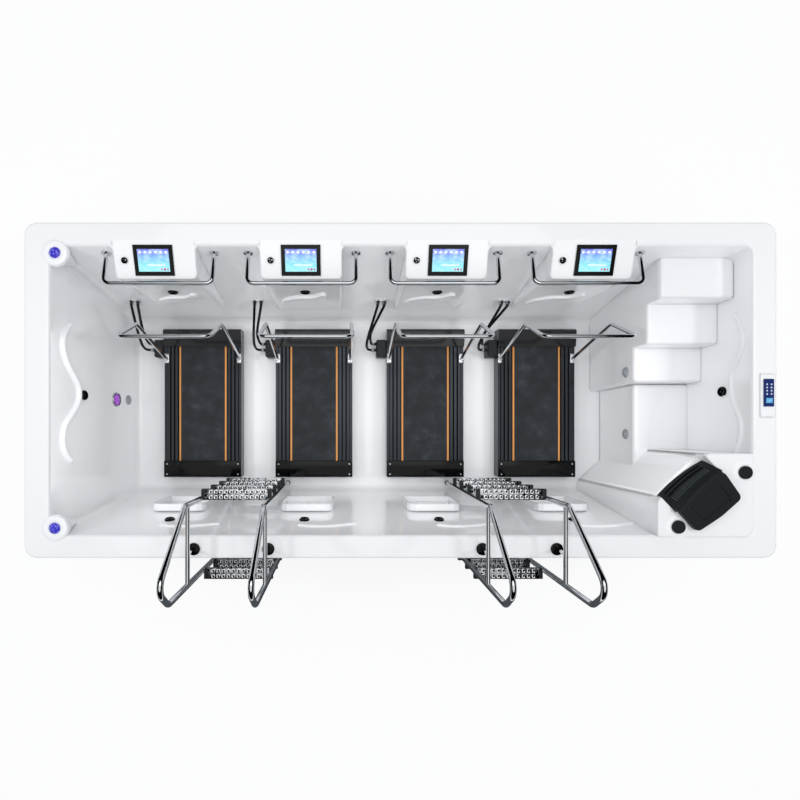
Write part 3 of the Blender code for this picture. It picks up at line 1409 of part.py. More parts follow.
def cabinet_panel(name, face):
    """A long side panel with half of each end wrapped round the corners, grooved in planks."""
    low = PANEL_GROUND
    high = RIM_Z - WALL - GAP
    panel = cabinet_wrap(PANEL_INSET, low, high)
    hollow = cabinet_wrap(PANEL_INSET + PANEL, low - WALL, high + WALL)
    near, far = sorted((face * GAP, -face * RIM_WIDTH))
    other = box("other_half", (-RIM_LENGTH, near, low - WALL), (RIM_LENGTH, far, high + WALL))
    grooves = []
    for i in range(PANEL_GROOVES):
        z = low + (high - low) * (i + 1) / (PANEL_GROOVES + 1)
        around = cabinet_wrap(-WALL, z - PANEL_GROOVE, z + PANEL_GROOVE)
        within = cabinet_wrap(PANEL_INSET + PANEL_GROOVE, z - WALL, z + WALL)
        grooves.append(cut(around, [within]))
    finish_part(name, cut(panel, [hollow, other] + grooves), CABINET)


PUMP_Z = FLOOR_Z - WALL - GAP + PUMP_FOOT[2] + PUMP_RADIUS


def circulation_pump():
    """Pump with its wet end, lying along Y under the entry steps."""
    motor = drum("pump_motor", PUMP_RADIUS, PUMP_LENGTH, axis_y(PUMP_X, PUMP_Y, PUMP_Z), 16)
    head_y = PUMP_Y - PUMP_LENGTH / 2 - PUMP_HEAD_LENGTH / 2
    head = drum("wet_end", PUMP_HEAD_RADIUS, PUMP_HEAD_LENGTH + LAP, axis_y(PUMP_X, head_y, PUMP_Z), 16)
    outlet = drum("outlet", PUMP_RADIUS / 2, PUMP_HEAD_RADIUS * 1.4,
                  axis_z(PUMP_X, head_y, PUMP_Z + PUMP_HEAD_RADIUS * 0.9), 8)
    inlet = drum("inlet", PUMP_RADIUS / 2, PUMP_HEAD_LENGTH,
                 axis_y(PUMP_X, head_y - PUMP_HEAD_LENGTH * 0.8, PUMP_Z), 8)
    wide, long, thick = PUMP_FOOT
    low = PUMP_Z - PUMP_RADIUS - thick
    foot = box("pump_foot", (PUMP_X - wide / 2, PUMP_Y - long / 2, low + GAP),
               (PUMP_X + wide / 2, PUMP_Y + long / 2, low + 2 * thick))
    finish_part("circulation_pump", fuse(motor, [head, outlet, inlet, foot]), BLACK)


pool_shell()
for index, spots in enumerate(zip(POD_XS, SCREEN_XS, GRAB_XS, TREADMILL_XS, HOSE_XS), start=1):
    pod_x, screen_x, rail_x, centre, block_x = spots
    screen(index, screen_x)
    start_button(index, pod_x)
    grab_rail(index, rail_x)
    treadmill_deck(index, centre)
    running_belt(index, centre)
    drive_roller(index, centre)
    tail_roller(index, centre)
    motor_hood(index, centre)
    drive_motor(index, centre)
    handrail(index, centre)
    hose_pair(index, centre, block_x)
for index, middle in enumerate(LADDER_XS, start=1):
    ladder(index, middle)
filter_housing()
filter_lid()
filter_cartridge()
for index, spot in enumerate(KNOB_SPOTS, start=1):
    diverter_knob(index, *spot)
control_panel()
led_light()
for index, spot in enumerate(light_spots(), start=1):
    corner_light(index, *spot)
support_frame()
cabinet_panel("cabinet_back", 1)
cabinet_panel("cabinet_front", -1)
circulation_pump()
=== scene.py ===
# %% [markdown]
# # A four-station underwater treadmill pool
#
# The object is a white acrylic tub, 5.6 m long and 1.3 m deep, with four water-driven treadmills on
# its floor. Each station has a console with a screen, a grab rail and a handrail. People climb in
# over the front rim by two free-standing ladders, or down the moulded steps at the right end.
# The solids come packed from a CAD model. This script dresses them: it loads them as a fixed frame,
# gives each solid a finish, and models the pieces whose surface is finer than the solids show.

# %% Load the solids
import json
from math import atan, atan2, hypot, pi, radians, tan

import bpy
from mathutils import Matrix, Vector


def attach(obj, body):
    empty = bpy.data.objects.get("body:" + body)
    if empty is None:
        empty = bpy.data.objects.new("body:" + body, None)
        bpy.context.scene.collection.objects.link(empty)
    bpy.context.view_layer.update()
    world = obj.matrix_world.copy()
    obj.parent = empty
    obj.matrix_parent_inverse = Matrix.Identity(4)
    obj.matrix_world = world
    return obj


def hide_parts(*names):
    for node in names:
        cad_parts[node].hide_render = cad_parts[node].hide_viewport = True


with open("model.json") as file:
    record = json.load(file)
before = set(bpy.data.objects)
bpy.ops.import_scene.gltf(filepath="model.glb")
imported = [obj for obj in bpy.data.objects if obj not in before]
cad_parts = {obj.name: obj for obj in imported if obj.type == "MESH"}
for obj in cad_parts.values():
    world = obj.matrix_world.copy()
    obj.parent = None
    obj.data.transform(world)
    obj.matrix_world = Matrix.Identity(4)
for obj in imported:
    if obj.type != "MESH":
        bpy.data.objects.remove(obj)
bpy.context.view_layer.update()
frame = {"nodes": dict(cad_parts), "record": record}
scene = bpy.context.scene

# %% [markdown]
# ## Sizes that the pieces share
#
# The tub is described by a few driving sizes, the same as in the CAD model: where its rim, floor and
# walls are, and how far each wall leans in on its way down. Small functions then answer the one
# question that most pieces ask: where is the wall at this height?

# %% Tub and stations
# The room that the CAD model leaves between two pieces that touch
GAP = 0.0003
HALF_LENGTH, HALF_WIDTH = 2.800, 1.250
FLOOR_Z, DEPTH = 0.150, 1.300
RIM_Z = FLOOR_Z + DEPTH
RIM_LEFT, RIM_RIGHT, RIM_BACK, RIM_FRONT = 0.186, 0.180, 0.170, 0.167
LEAN_LEFT, LEAN_RIGHT, LEAN_BACK, LEAN_FRONT = 0.124, 0.030, 0.280, 0.187
POD_REACH, POD_SETBACK, POD_TILT = 0.228, 0.040, radians(17.0)
POD_FRONT = HALF_WIDTH - RIM_BACK - POD_REACH
SLOPE_START = HALF_WIDTH - RIM_BACK + POD_SETBACK
STATIONS = 4


def row_of(middle, pitch):
    """Places along X of what repeats once a station."""
    return [middle + (i - (STATIONS - 1) / 2) * pitch for i in range(STATIONS)]


POD_XS = row_of(-0.1955, 1.098)
SCREEN_XS = row_of(-0.1915, 1.106)
GRAB_XS = row_of(-0.1995, 1.085)
DECK_XS = row_of(-0.1725, 1.0865)
HOSE_XS = row_of(-0.648, 1.128)


def lean(z):
    """The share of its lean that a wall has at a height: none at the rim, all at the floor."""
    return (RIM_Z - z) / DEPTH


def wall_left(z):
    return -HALF_LENGTH + RIM_LEFT + LEAN_LEFT * lean(z)


def wall_right(z):
    return HALF_LENGTH - RIM_RIGHT - LEAN_RIGHT * lean(z)


def wall_back(z):
    return HALF_WIDTH - RIM_BACK - LEAN_BACK * lean(z)


def wall_front(z):
    return -HALF_WIDTH + RIM_FRONT + LEAN_FRONT * lean(z)


def at(x, y=0.0, z=0.0):
    """Placement by a shift alone."""
    return Matrix.Translation((x, y, z))


def on_wall(wall, along, z):
    """Placement on the inside of a wall: local Z points out of the wall, into the water."""
    spot, angle, axis = {
        "back": ((along, wall_back(z)), pi / 2 - atan(LEAN_BACK / DEPTH), "X"),
        "front": ((along, wall_front(z)), atan(LEAN_FRONT / DEPTH) - pi / 2, "X"),
        "left": ((wall_left(z), along), pi / 2 - atan(LEAN_LEFT / DEPTH), "Y"),
        "right": ((wall_right(z), along), atan(LEAN_RIGHT / DEPTH) - pi / 2, "Y"),
        "pod": ((along, POD_FRONT), pi / 2, "X"),
    }[wall]
    return at(*spot, z) @ Matrix.Rotation(angle, 4, axis)


def slope_z(y):
    """Height of a console's sloping top at a place across the rim."""
    return RIM_Z - max(0.0, SLOPE_START - y) * tan(POD_TILT)


def on_console(x, y):
    """Placement on a console's top: local Z stands square to it."""
    return at(x, y, slope_z(y)) @ Matrix.Rotation(POD_TILT, 4, "X")


SCREEN_Y = SLOPE_START - 0.140
print("consoles at", [round(x, 3) for x in POD_XS], "treadmills at", [round(x, 3) for x in DECK_XS])

# %% [markdown]
# ## The camera
#
# The photograph is taken from straight above the middle of the pool, so near that the perspective
# is strong: every wall shows its inside, and the ladders lean out over the rim. The camera stands
# 5 m over the pool's floor. Its view is centred left of the picture's middle and a little below it,
# which a lens shift does without turning the camera.

# %% Camera
PICTURE = 800
CENTRE_X, CENTRE_Y = 345.0, 427.0
CAMERA_PLACE = (-0.413, -0.273, FLOOR_Z + 5.0)
FOCAL_PIXELS = 497.6
SENSOR = 36.0

camera_data = bpy.data.cameras.new("overhead_camera")
camera_data.sensor_width = SENSOR
camera_data.lens = FOCAL_PIXELS / PICTURE * SENSOR
camera_data.shift_x = (PICTURE / 2 - CENTRE_X) / PICTURE
camera_data.shift_y = (CENTRE_Y - PICTURE / 2) / PICTURE
camera = bpy.data.objects.new("overhead_camera", camera_data)
scene.collection.objects.link(camera)
camera.location = CAMERA_PLACE
scene.camera = camera
print("lens", round(camera_data.lens, 2), "mm")

# %% [markdown]
# ## Helpers for finishes
#
# A finish is a tree of shader nodes. Five small functions build every one of them: one turns a colour
# as a designer writes it, in sRGB hex, to the linear values that Blender works in; one starts a
# material; one adds a node, sets its values and links its inputs; one links a node to the shader; and
# one draws a texture on the finish, in Object coordinates, where a metre in a pattern is a metre on
# the pool.

# %% Colour, material and node helpers


def hex_colour(text):
    """Linear colour with alpha from an sRGB hex value such as F2F3F5."""
    values = [int(text[i:i + 2], 16) / 255 for i in (0, 2, 4)]
    linear = [v / 12.92 if v <= 0.04045 else ((v + 0.055) / 1.055) ** 2.4 for v in values]
    return (*linear, 1.0)


def new_material(name, colour, roughness, metallic=0.0, **sockets):
    """A material whose shader has constant values on its own sockets."""
    material = bpy.data.materials.new(name)
    material.use_nodes = True
    shader = material.node_tree.nodes["Principled BSDF"]
    shader.inputs["Base Color"].default_value = hex_colour(colour)
    shader.inputs["Roughness"].default_value = roughness
    shader.inputs["Metallic"].default_value = metallic
    for socket, value in sockets.items():
        shader.inputs[socket.replace("_", " ")].default_value = value
    return material


def add_node(material, kind, settings=None, links=None, stops=()):
    """Add a node: settings are attributes or input values, and links lead to its inputs.

    A link's source is a node, for its first output, or a pair of node and output. A colour ramp
    takes its stops as well, each a position and a hex colour.
    """
    tree = material.node_tree
    node = tree.nodes.new("ShaderNode" + kind)
    for key, value in (settings or {}).items():
        if isinstance(key, str) and hasattr(node, key):
            setattr(node, key, value)
        else:
            node.inputs[key].default_value = value
    for key, source in (links or {}).items():
        giver, output = source if isinstance(source, tuple) else (source, 0)
        tree.links.new(giver.outputs[output], node.inputs[key])
    if stops:
        elements = node.color_ramp.elements
        while len(elements) < len(stops):
            elements.new(0.5)
        for element, (position, colour) in zip(elements, stops):
            element.position, element.color = position, hex_colour(colour)
    return node


def connect(material, source, output, *sockets):
    """Link a node's output to sockets of the material's shader."""
    tree = material.node_tree
    for socket in sockets:
        tree.links.new(source.outputs[output], tree.nodes["Principled BSDF"].inputs[socket])


def draw(material, kind, settings, output="Fac", stretch=None, relief=None, under=None, roughness=None,
         stops=None, sockets=("Base Color",)):
    """Draw a texture on a finish.

    It shows as relief (strength, depth), on the normal of a node under it if there is one, as
    roughness (low, high), or as colour (the stops of a ramp, and the sockets that take it).
    """
    vector = (add_node(material, "TexCoord"), "Object")
    if stretch:
        vector = (add_node(material, "Mapping", {"Scale": stretch}, {"Vector": vector}), "Vector")
    source = (add_node(material, kind, settings, {"Vector": vector}), output)
    if relief:
        links = {"Height": source, "Normal": (under, "Normal")} if under else {"Height": source}
        bump = add_node(material, "Bump", {"Strength": relief[0], "Distance": relief[1]}, links)
        connect(material, bump, "Normal", "Normal")
    if roughness:
        sheen = add_node(material, "MapRange", {"To Min": roughness[0], "To Max": roughness[1]},
                         {"Value": source})
        connect(material, sheen, "Result", "Roughness")
    if stops:
        tone = add_node(material, "ValToRGB", {}, {"Fac": source}, stops)
        connect(material, tone, "Color", *sockets)


# %% [markdown]
# ## White acrylic
#
# The tub is one sheet of sanitary acrylic, heated and drawn by vacuum over a mould, then backed
# with glass fibre. It is brilliant white with a high gloss, and no edge on it is sharp: the sheet
# can't fold tighter than its own thickness. A Bevel node rounds the shading of every edge, inside and
# out, and a very slow Noise gives the faint waviness that a drawn sheet shows in its reflections.

# %% Acrylic finish
# One wave of the sheet is about 250 mm long
WAVES = {"Scale": 4.0, "Detail": 1.0}
RIPPLE = (0.10, 0.004)
acrylic = new_material("vacuum_formed_white_acrylic", "F7F8FA", 0.14, IOR=1.49, Coat_Weight=0.60,
                       Coat_Roughness=0.05)
round_edge = add_node(acrylic, "Bevel", {"samples": 6, "Radius": 0.022})
draw(acrylic, "TexNoise", WAVES, relief=RIPPLE, under=round_edge)

# Raised shapes are round already, so their acrylic needs only the waviness of the sheet
relief_acrylic = new_material("vacuum_formed_acrylic_relief", "F7F8FA", 0.16, IOR=1.49, Coat_Weight=0.35,
                              Coat_Roughness=0.05)
draw(relief_acrylic, "TexNoise", WAVES, relief=RIPPLE)

# %% [markdown]
# ## Metals
#
# The rails and ladders are tubes of stainless steel, polished to a mirror. The hidden base frame is
# hot-dip galvanised: its zinc has grown into crystals a finger's breadth wide. The rollers are turned
# steel with fine grooves round them.

# %% Metal finishes
stainless = new_material("polished_stainless_tube", "D9DCDF", 0.08, 1.0)
# Polishing marks, 2 mm apart
draw(stainless, "TexNoise", {"Scale": 500.0, "Detail": 2.0}, roughness=(0.05, 0.12))

galvanised = new_material("galvanised_box_section", "9DA1A4", 0.45, 1.0)
# Zinc crystals, 15 mm wide
draw(galvanised, "TexVoronoi", {"Scale": 65.0}, "Distance",
     stops=[(0.0, "8E9295"), (0.5, "A5A9AC"), (1.0, "B7BABD")])

turned_steel = new_material("turned_steel_roller", "8A8D90", 0.32, 1.0)
# Tool grooves round the roller, about 6 mm apart along X: a wave repeats every 314 mm over its scale
draw(turned_steel, "TexWave", {"Scale": 55.0, "bands_direction": "X"}, relief=(0.2, 0.0005))

# %% [markdown]
# ## Plastics, paint and rubber
#
# Black parts in a pool are never the same black. The filter and the knobs are ABS with a fine spark
# texture, the treadmill's hood is stove-enamelled sheet with a blue cast, the side rails are
# dark anodised extrusions, and the cabinet is boarded with wood fibre in plastic.

# %% Moulded and painted finishes


def grained(name, colour, roughness, grain, depth, **sockets):
    """A moulded plastic: its mould was eroded by sparks, which leaves a fine even grain."""
    material = new_material(name, colour, roughness, **sockets)
    draw(material, "TexNoise", {"Scale": 1.0 / grain, "Detail": 2.0}, relief=(0.35, depth),
         roughness=(roughness - 0.06, roughness + 0.08))
    return material


black_abs = grained("spark_textured_black_abs", "1B2022", 0.44, 0.004, 0.0006, Specular_IOR_Level=0.35)
# The same plastic, lighter: a painted highlight for the louvre's fins, which catch the light
fin_highlight_abs = grained("black_abs_with_painted_highlight", "474D50", 0.36, 0.004, 0.0004)
# Near-black matte plastic that paints shade: it goes in the louvre's slots, between its fins and in the
# nozzles' throats, where there is only shade
painted_shade_black = grained("painted_shade_black_matte", "020203", 0.95, 0.003, 0.0010, Specular_IOR_Level=0.05)
motor_black = grained("glass_filled_nylon_case", "101316", 0.34, 0.003, 0.0005)
hose_rubber = grained("smooth_black_hose_rubber", "08090A", 0.14, 0.006, 0.0004)
navy_film = grained("navy_membrane_film", "1A2D6B", 0.28, 0.003, 0.0002)
fleece = grained("pleated_filter_fleece", "E9ECEE", 0.90, 0.002, 0.0010)

composite = new_material("extruded_wood_plastic_board", "8B8F92", 0.60, Specular_IOR_Level=0.35)
# Wood fibres drawn along the board by the extruder, 4 mm wide and 250 mm long
draw(composite, "TexNoise", {"Scale": 1.0, "Detail": 3.0}, stretch=(4.0, 4.0, 250.0),
     relief=(0.4, 0.0015), stops=[(0.25, "7C8083"), (0.50, "8D9194"), (0.75, "9CA0A3")])

enamel = new_material("stove_enamelled_hood", "05070B", 0.10, Specular_IOR_Level=0.38)
# Orange peel of sprayed enamel, 6 mm wide
draw(enamel, "TexNoise", {"Scale": 170.0, "Detail": 1.0}, relief=(0.08, 0.0004))

anodised = new_material("dark_anodised_extrusion", "36393D", 0.24, 0.9)
# Drawing lines of the extrusion run along Y, 2 mm apart
draw(anodised, "TexNoise", {"Scale": 1.0, "Detail": 2.0}, stretch=(500.0, 4.0, 500.0),
     roughness=(0.14, 0.26))

# %% [markdown]
# ## Bright and glossy finishes
#
# Small fittings are brass castings with chrome plating, a shade darker and sharper than polished
# steel. Bezels, caps and rear covers are gloss black, like a piano. The ladder's treads are punched
# sheet: bright lands between slots about 30 mm apart, with painted shade in the slots. Lenses are clear
# coloured acrylic, lit a little from inside, so they get a gradient from a dark rim to a bright middle.

# %% Bright and glossy finishes
plated = new_material("chrome_plated_brass", "B9BDC1", 0.10, 1.0)
# Faint swirls of the buffing wheel, 5 mm wide
draw(plated, "TexNoise", {"Scale": 200.0, "Detail": 2.0, "Distortion": 1.5},
     roughness=(0.06, 0.16))

piano_black = new_material("gloss_black_lacquer", "040506", 0.10, Specular_IOR_Level=0.20)
# Dust and fine scratches 2 mm wide dull the gloss in places
draw(piano_black, "TexNoise", {"Scale": 450.0, "Detail": 3.0}, roughness=(0.06, 0.20))

punched_steel = new_material("punched_grip_sheet", "D5D8DA", 0.24, 1.0)
# Grip slots and the lands between them, 30 mm apart and square like the punch; the near-black stops paint
# the shade in the slots
draw(punched_steel, "TexVoronoi", {"Scale": 33.0, "Randomness": 0.7, "distance": "CHEBYCHEV"},
     "Distance", relief=(0.8, 0.004),
     stops=[(0.0, "D2D6D8"), (0.10, "8A8E91"), (0.15, "1A1C1E"), (0.33, "0A0B0C"), (0.40, "B4B8BB"),
            (1.0, "E4E7E9")])


def lit_lens(name, dark, bright, facets):
    """Coloured acrylic over a lamp: facets seen through it break the light up."""
    material = new_material(name, bright, 0.08, IOR=1.49, Coat_Weight=0.5, Coat_Roughness=0.02,
                            Emission_Strength=0.25)
    draw(material, "TexVoronoi", {"Scale": facets}, "Distance",
         stops=[(0.0, bright), (0.45, dark), (1.0, dark)], sockets=("Base Color", "Emission Color"))
    return material


# Facets of the lenses are about 20 mm apart, the pad's display glows in patches of 8 mm
violet_lens = lit_lens("violet_acrylic_lens", "3A35B0", "8C8CF5", 50.0)
magenta_lens = lit_lens("magenta_acrylic_lens", "9A38CC", "F0A0FF", 50.0)
small_display = lit_lens("pad_display_window", "5DA9D8", "BFEFFF", 120.0)
pale_key = grained("pale_key_print", "C9D4E4", 0.35, 0.002, 0.0002)
satin_cap = grained("satin_grey_abs_cap", "9CA1A5", 0.24, 0.004, 0.0003)

# %% Dress the solids
FINISHES = {
    "acrylic_shell": acrylic, "polished_stainless": stainless, "frame_steel": galvanised,
    "cabinet_panel": composite, "black_moulding": black_abs, "hood_black": enamel,
    "deck_alloy": anodised, "roller_steel": turned_steel, "belt_rubber": motor_black,
    "hose_rubber": hose_rubber, "display": piano_black, "keypad_navy": navy_film,
    "violet_lens": violet_lens, "magenta_lens": magenta_lens, "filter_fleece": fleece,
}
node_slot = {entry["node"]: entry["material_slot"] for entry in frame["record"]["subparts"]}
for name, solid in frame["nodes"].items():
    solid.data.materials.clear()
    solid.data.materials.append(FINISHES[node_slot[name]])
print("finishes for the solids:", len(FINISHES))

# %% [markdown]
# ## Light and background
#
# The photograph is a product shot on pure white: soft light from all round, a little stronger from
# above, and two lamps at the sides. A weak panel at the height of the rim fills the inside, as water
# full of light would. The white behind the object is the paper's and the world's own, and costs the
# object no extra light; a little of the paper is lit, so that it keeps the object's shadow.
# Polished tubes are only as good as what they reflect. A photographer hangs black cloth round the
# set for them, out of the picture: each tube then gets a white core between two dark streaks.

# %% Paper floor
PAPER_GLOW = 0.80
bpy.ops.mesh.primitive_plane_add(size=40.0, location=(0.0, 0.0, -0.001))
floor = bpy.context.object
floor.name = "studio_floor"
paper = new_material("white_studio_paper", "F4F5F6", 0.8)


def seen_directly(material):
    """1 for rays from the camera, from a mirror or through glass, 0 for the light that falls on things."""
    ray = add_node(material, "LightPath")
    either = add_node(material, "Math", {"operation": "MAXIMUM"},
                      {0: (ray, "Is Camera Ray"), 1: (ray, "Is Glossy Ray")})
    return add_node(material, "Math", {"operation": "MAXIMUM"},
                    {0: either, 1: (ray, "Is Transmission Ray")})


seen = seen_directly(paper)
share = add_node(paper, "Math", {"operation": "MULTIPLY", 1: PAPER_GLOW}, {0: seen})
white = add_node(paper, "Emission", {"Strength": 1.04})
mix = add_node(paper, "MixShader", {},
               {0: share, 1: (paper.node_tree.nodes["Principled BSDF"], "BSDF"), 2: white})
paper.node_tree.links.new(mix.outputs["Shader"], paper.node_tree.nodes["Material Output"].inputs["Surface"])
floor.data.materials.append(paper)

# %% Cloths that only mirrors see
bpy.ops.mesh.primitive_cylinder_add(vertices=64, radius=12.0, depth=18.8, end_fill_type="NOTHING",
                                    location=(0.0, 0.0, 10.6))
hung = bpy.context.object
bpy.ops.mesh.primitive_circle_add(vertices=64, radius=8.0, fill_type="NGON", location=(0.0, 0.0, -0.0005))
laid = bpy.context.object
for cloth, name, colour in ((hung, "black_cloth_round_the_set", "0C0D0E"),
                            (laid, "grey_cloth_on_the_floor", "5C6064")):
    cloth.name = name
    cloth.data.materials.append(new_material(name, colour, 0.9, Specular_IOR_Level=0.0))
    cloth.visible_camera = cloth.visible_diffuse = cloth.visible_transmission = cloth.visible_shadow = False
print("stage: paper and two cloths")

# %% Lamps


def area_light(name, place, target, size, power):
    """A rectangular lamp at a place, aimed at a target."""
    data = bpy.data.lights.new(name, "AREA")
    data.shape = "RECTANGLE"
    data.size, data.size_y = size
    data.energy = power
    lamp = bpy.data.objects.new(name, data)
    scene.collection.objects.link(lamp)
    lamp.location = place
    lamp.rotation_euler = (Vector(target) - Vector(place)).to_track_quat("-Z", "Y").to_euler()
    return lamp


area_light("ceiling_panel", (0.0, 0.9, 6.0), (0.0, 0.1, 0.5), (5.0, 2.6), 34.0)
soft = [area_light("side_lamp", (4.8 * side, 0.0, 4.9), (0.0, 0.3, 0.6), (0.6, 0.6), 46.0)
        for side in (-1, 1)]
soft.append(area_light("pool_fill", (-0.25, -0.16, RIM_Z - 0.02), (-0.25, -0.16, FLOOR_Z), (4.8, 1.2),
                       10.5))
for lamp in soft:
    # Their light falls on the pool, but the mirrors of chrome show only the ceiling panel
    lamp.visible_glossy = False

# %% World
world = bpy.data.worlds.new("white_studio")
scene.world = world
world.use_nodes = True
even = world.node_tree.nodes["Background"]
even.inputs["Color"].default_value = hex_colour("F4F6F8")
even.inputs["Strength"].default_value = 0.79
plain = add_node(world, "Background", {"Color": (1.0, 1.0, 1.0, 1.0), "Strength": 1.0})
whole = add_node(world, "MixShader", {}, {0: seen_directly(world), 1: even, 2: plain})
world.node_tree.links.new(whole.outputs["Shader"], world.node_tree.nodes["World Output"].inputs["Surface"])
scene.view_settings.view_transform = "Standard"
print("lamps and world done")

# %% [markdown]
# ## Helpers for pieces
#
# Every piece is made as by hand: add something simple, go to edit mode, select by place, and shape
# it. Operators act on all that is selected, so each piece starts with nothing selected. Three ways of
# making come back all the time, and each has a helper: a tube bent along a route, a shape turned on
# a lathe with Spin, and a block whose edges a Bevel modifier rounds. What repeats is modelled once
# and copied, each copy with its own mesh.

# %% Selecting and shaping


def fresh():
    """Object mode with nothing selected."""
    if bpy.context.mode != "OBJECT":
        bpy.ops.object.mode_set(mode="OBJECT")
    bpy.ops.object.select_all(action="DESELECT")


def select_only(piece):
    fresh()
    piece.select_set(True)
    bpy.context.view_layer.objects.active = piece


def edit_all(piece):
    """Edit mode with the whole piece selected."""
    select_only(piece)
    bpy.ops.object.mode_set(mode="EDIT")
    bpy.ops.mesh.select_all(action="SELECT")


def pick(piece, kind, test):
    """Edit mode with just those faces or edges selected that pass the test."""
    select_only(piece)
    bpy.ops.object.mode_set(mode="EDIT")
    bpy.ops.mesh.select_mode(type=kind)
    bpy.ops.mesh.select_all(action="DESELECT")
    bpy.ops.object.mode_set(mode="OBJECT")
    corners = piece.data.vertices
    if kind == "FACE":
        for face in piece.data.polygons:
            face.select = test(face)
    else:
        for edge in piece.data.edges:
            edge.select = test(*(corners[end].co for end in edge.vertices))
    bpy.ops.object.mode_set(mode="EDIT")


def let_in(rim, depth):
    """The face that is picked keeps a rim round it, and the rest of it sinks."""
    bpy.ops.mesh.inset(thickness=rim)
    bpy.ops.mesh.extrude_region_move(TRANSFORM_OT_translate={"value": (0, 0, -depth)})


def use_modifier(piece, kind, **settings):
    """Add a modifier and apply it."""
    select_only(piece)
    made = piece.modifiers.new(kind.lower(), kind)
    for key, value in settings.items():
        setattr(made, key, value)
    bpy.ops.object.modifier_apply(modifier=made.name)


def smooth(piece, angle=32):
    select_only(piece)
    bpy.ops.object.shade_smooth_by_angle(angle=radians(angle))


# %% Block, tube and turned shape


def block(size, centre=(0, 0, 0), edge=0.002, segments=2):
    """A box with rounded edges."""
    fresh()
    bpy.ops.mesh.primitive_cube_add(size=1.0, location=centre)
    piece = bpy.context.object
    piece.scale = size
    bpy.ops.object.transform_apply(location=True, rotation=True, scale=True)
    use_modifier(piece, "BEVEL", width=edge, segments=segments, limit_method="ANGLE")
    smooth(piece)
    return piece


def rounded_path(corners, bends, steps=8):
    """A route through corner points, each inner corner rounded by its bend radius."""
    corners = [Vector(c) for c in corners]
    points = [corners[0]]
    for before, here, after, radius in zip(corners, corners[1:], corners[2:], bends):
        into = (here - before).normalized()
        out = (after - here).normalized()
        turn = into.angle(out)
        start = here - into * radius * tan(turn / 2)
        centre = start + (out - into * into.dot(out)).normalized() * radius
        axis = into.cross(out).normalized()
        for i in range(steps + 1):
            points.append(centre + Matrix.Rotation(turn * i / steps, 3, axis) @ (start - centre))
    points.append(corners[-1])
    return points


def flowing_path(corners, spacing):
    """Points spaced along a smooth curve through the route's corners."""
    route = [Vector(c) for c in corners]
    ends = [2 * route[0] - route[1]] + route + [2 * route[-1] - route[-2]]
    points = []
    for p0, p1, p2, p3 in zip(ends, ends[1:], ends[2:], ends[3:]):
        count = max(1, round((p2 - p1).length / spacing))
        for i in range(count):
            t = i / count
            points.append(0.5 * (2 * p1 + (p2 - p0) * t + (2 * p0 - 5 * p1 + 4 * p2 - p3) * t ** 2
                                 + (3 * p1 - p0 - 3 * p2 + p3) * t ** 3))
    points.append(route[-1])
    return points


def mended(piece, angle):
    """Corners that meet become one, the faces look outwards, and flat angles are shaded smooth."""
    edit_all(piece)
    bpy.ops.mesh.remove_doubles(threshold=0.00001)
    bpy.ops.mesh.normals_make_consistent(inside=False)
    smooth(piece, angle)
    return piece


def drawn(points, angle, closed=False, **settings):
    """A curve through points that its settings make thick, converted to a mesh."""
    fresh()
    bpy.ops.curve.primitive_nurbs_path_add()
    curve = bpy.context.object.data
    curve.splines.clear()
    for key, value in settings.items():
        setattr(curve, key, value)
    line = curve.splines.new("POLY")
    line.points.add(len(points) - 1)
    for point, spot in zip(line.points, points):
        point.co = (*spot, 1.0)
    line.use_cyclic_u = closed
    bpy.ops.object.convert(target="MESH")
    return mended(bpy.context.object, angle)


def tube(points, radius, rounds=4):
    """A tube: a path with a round section and closed ends."""
    return drawn(points, 50, dimensions="3D", bevel_depth=radius, bevel_resolution=rounds,
                 use_fill_caps=True)


def turned(profile, steps=28, angle=32):
    """A shape turned on a lathe: the profile (radius, height, in mm) spun round the Z axis."""
    mesh = bpy.data.meshes.new("profile")
    edges = [(i, i + 1) for i in range(len(profile) - 1)]
    mesh.from_pydata([(r, 0.0, z) for r, z in in_metres(profile)], edges, [])
    piece = bpy.data.objects.new("profile", mesh)
    scene.collection.objects.link(piece)
    edit_all(piece)
    bpy.ops.mesh.spin(steps=steps, angle=2 * pi, center=(0, 0, 0), axis=(0, 0, 1))
    return mended(piece, angle)


# %% Finishing, copying and joining


def give(piece, *finishes):
    piece.data.materials.clear()
    for finish in finishes:
        piece.data.materials.append(finish)
    return piece


def paint_picked(piece):
    """The faces that are picked get the piece's second finish."""
    piece.active_material_index = 1
    bpy.ops.object.material_slot_assign()
    fresh()


def lay_map(piece, name, place):
    """A map (UV) that takes each corner of a piece to its place on a picture."""
    layers = piece.data.uv_layers
    chart = layers[0] if layers else layers.new(name=name)
    for loop in piece.data.loops:
        chart.data[loop.index].uv = place(piece.data.vertices[loop.vertex_index].co)


def in_metres(points):
    """Profiles and outlines are written in millimetres, as on a drawing."""
    return [(a / 1000, b / 1000) for a, b in points]


def moved(piece, placement):
    """Move the mesh itself, so that the object stays at the origin."""
    piece.data.transform(placement)
    return piece


def joined(pieces):
    """Several shapes in one piece, each with its own finish."""
    select_only(pieces[0])
    for other in pieces[1:]:
        other.select_set(True)
    bpy.ops.object.join()
    return bpy.context.object


def copy_at(piece, placement):
    """A copy with its own mesh, moved to a placement."""
    select_only(piece)
    bpy.ops.object.duplicate(linked=False)
    return moved(bpy.context.object, placement)


def remove(*pieces):
    for piece in pieces:
        select_only(piece)
        bpy.ops.object.delete()


def settle(piece, name, body="pool", nodes=()):
    """Name a finished piece, let it ride on its body, and let it stand for the nodes it replaces."""
    piece.name = name
    piece.data.name = name
    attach(piece, body)
    if nodes:
        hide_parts(*nodes)
    return piece


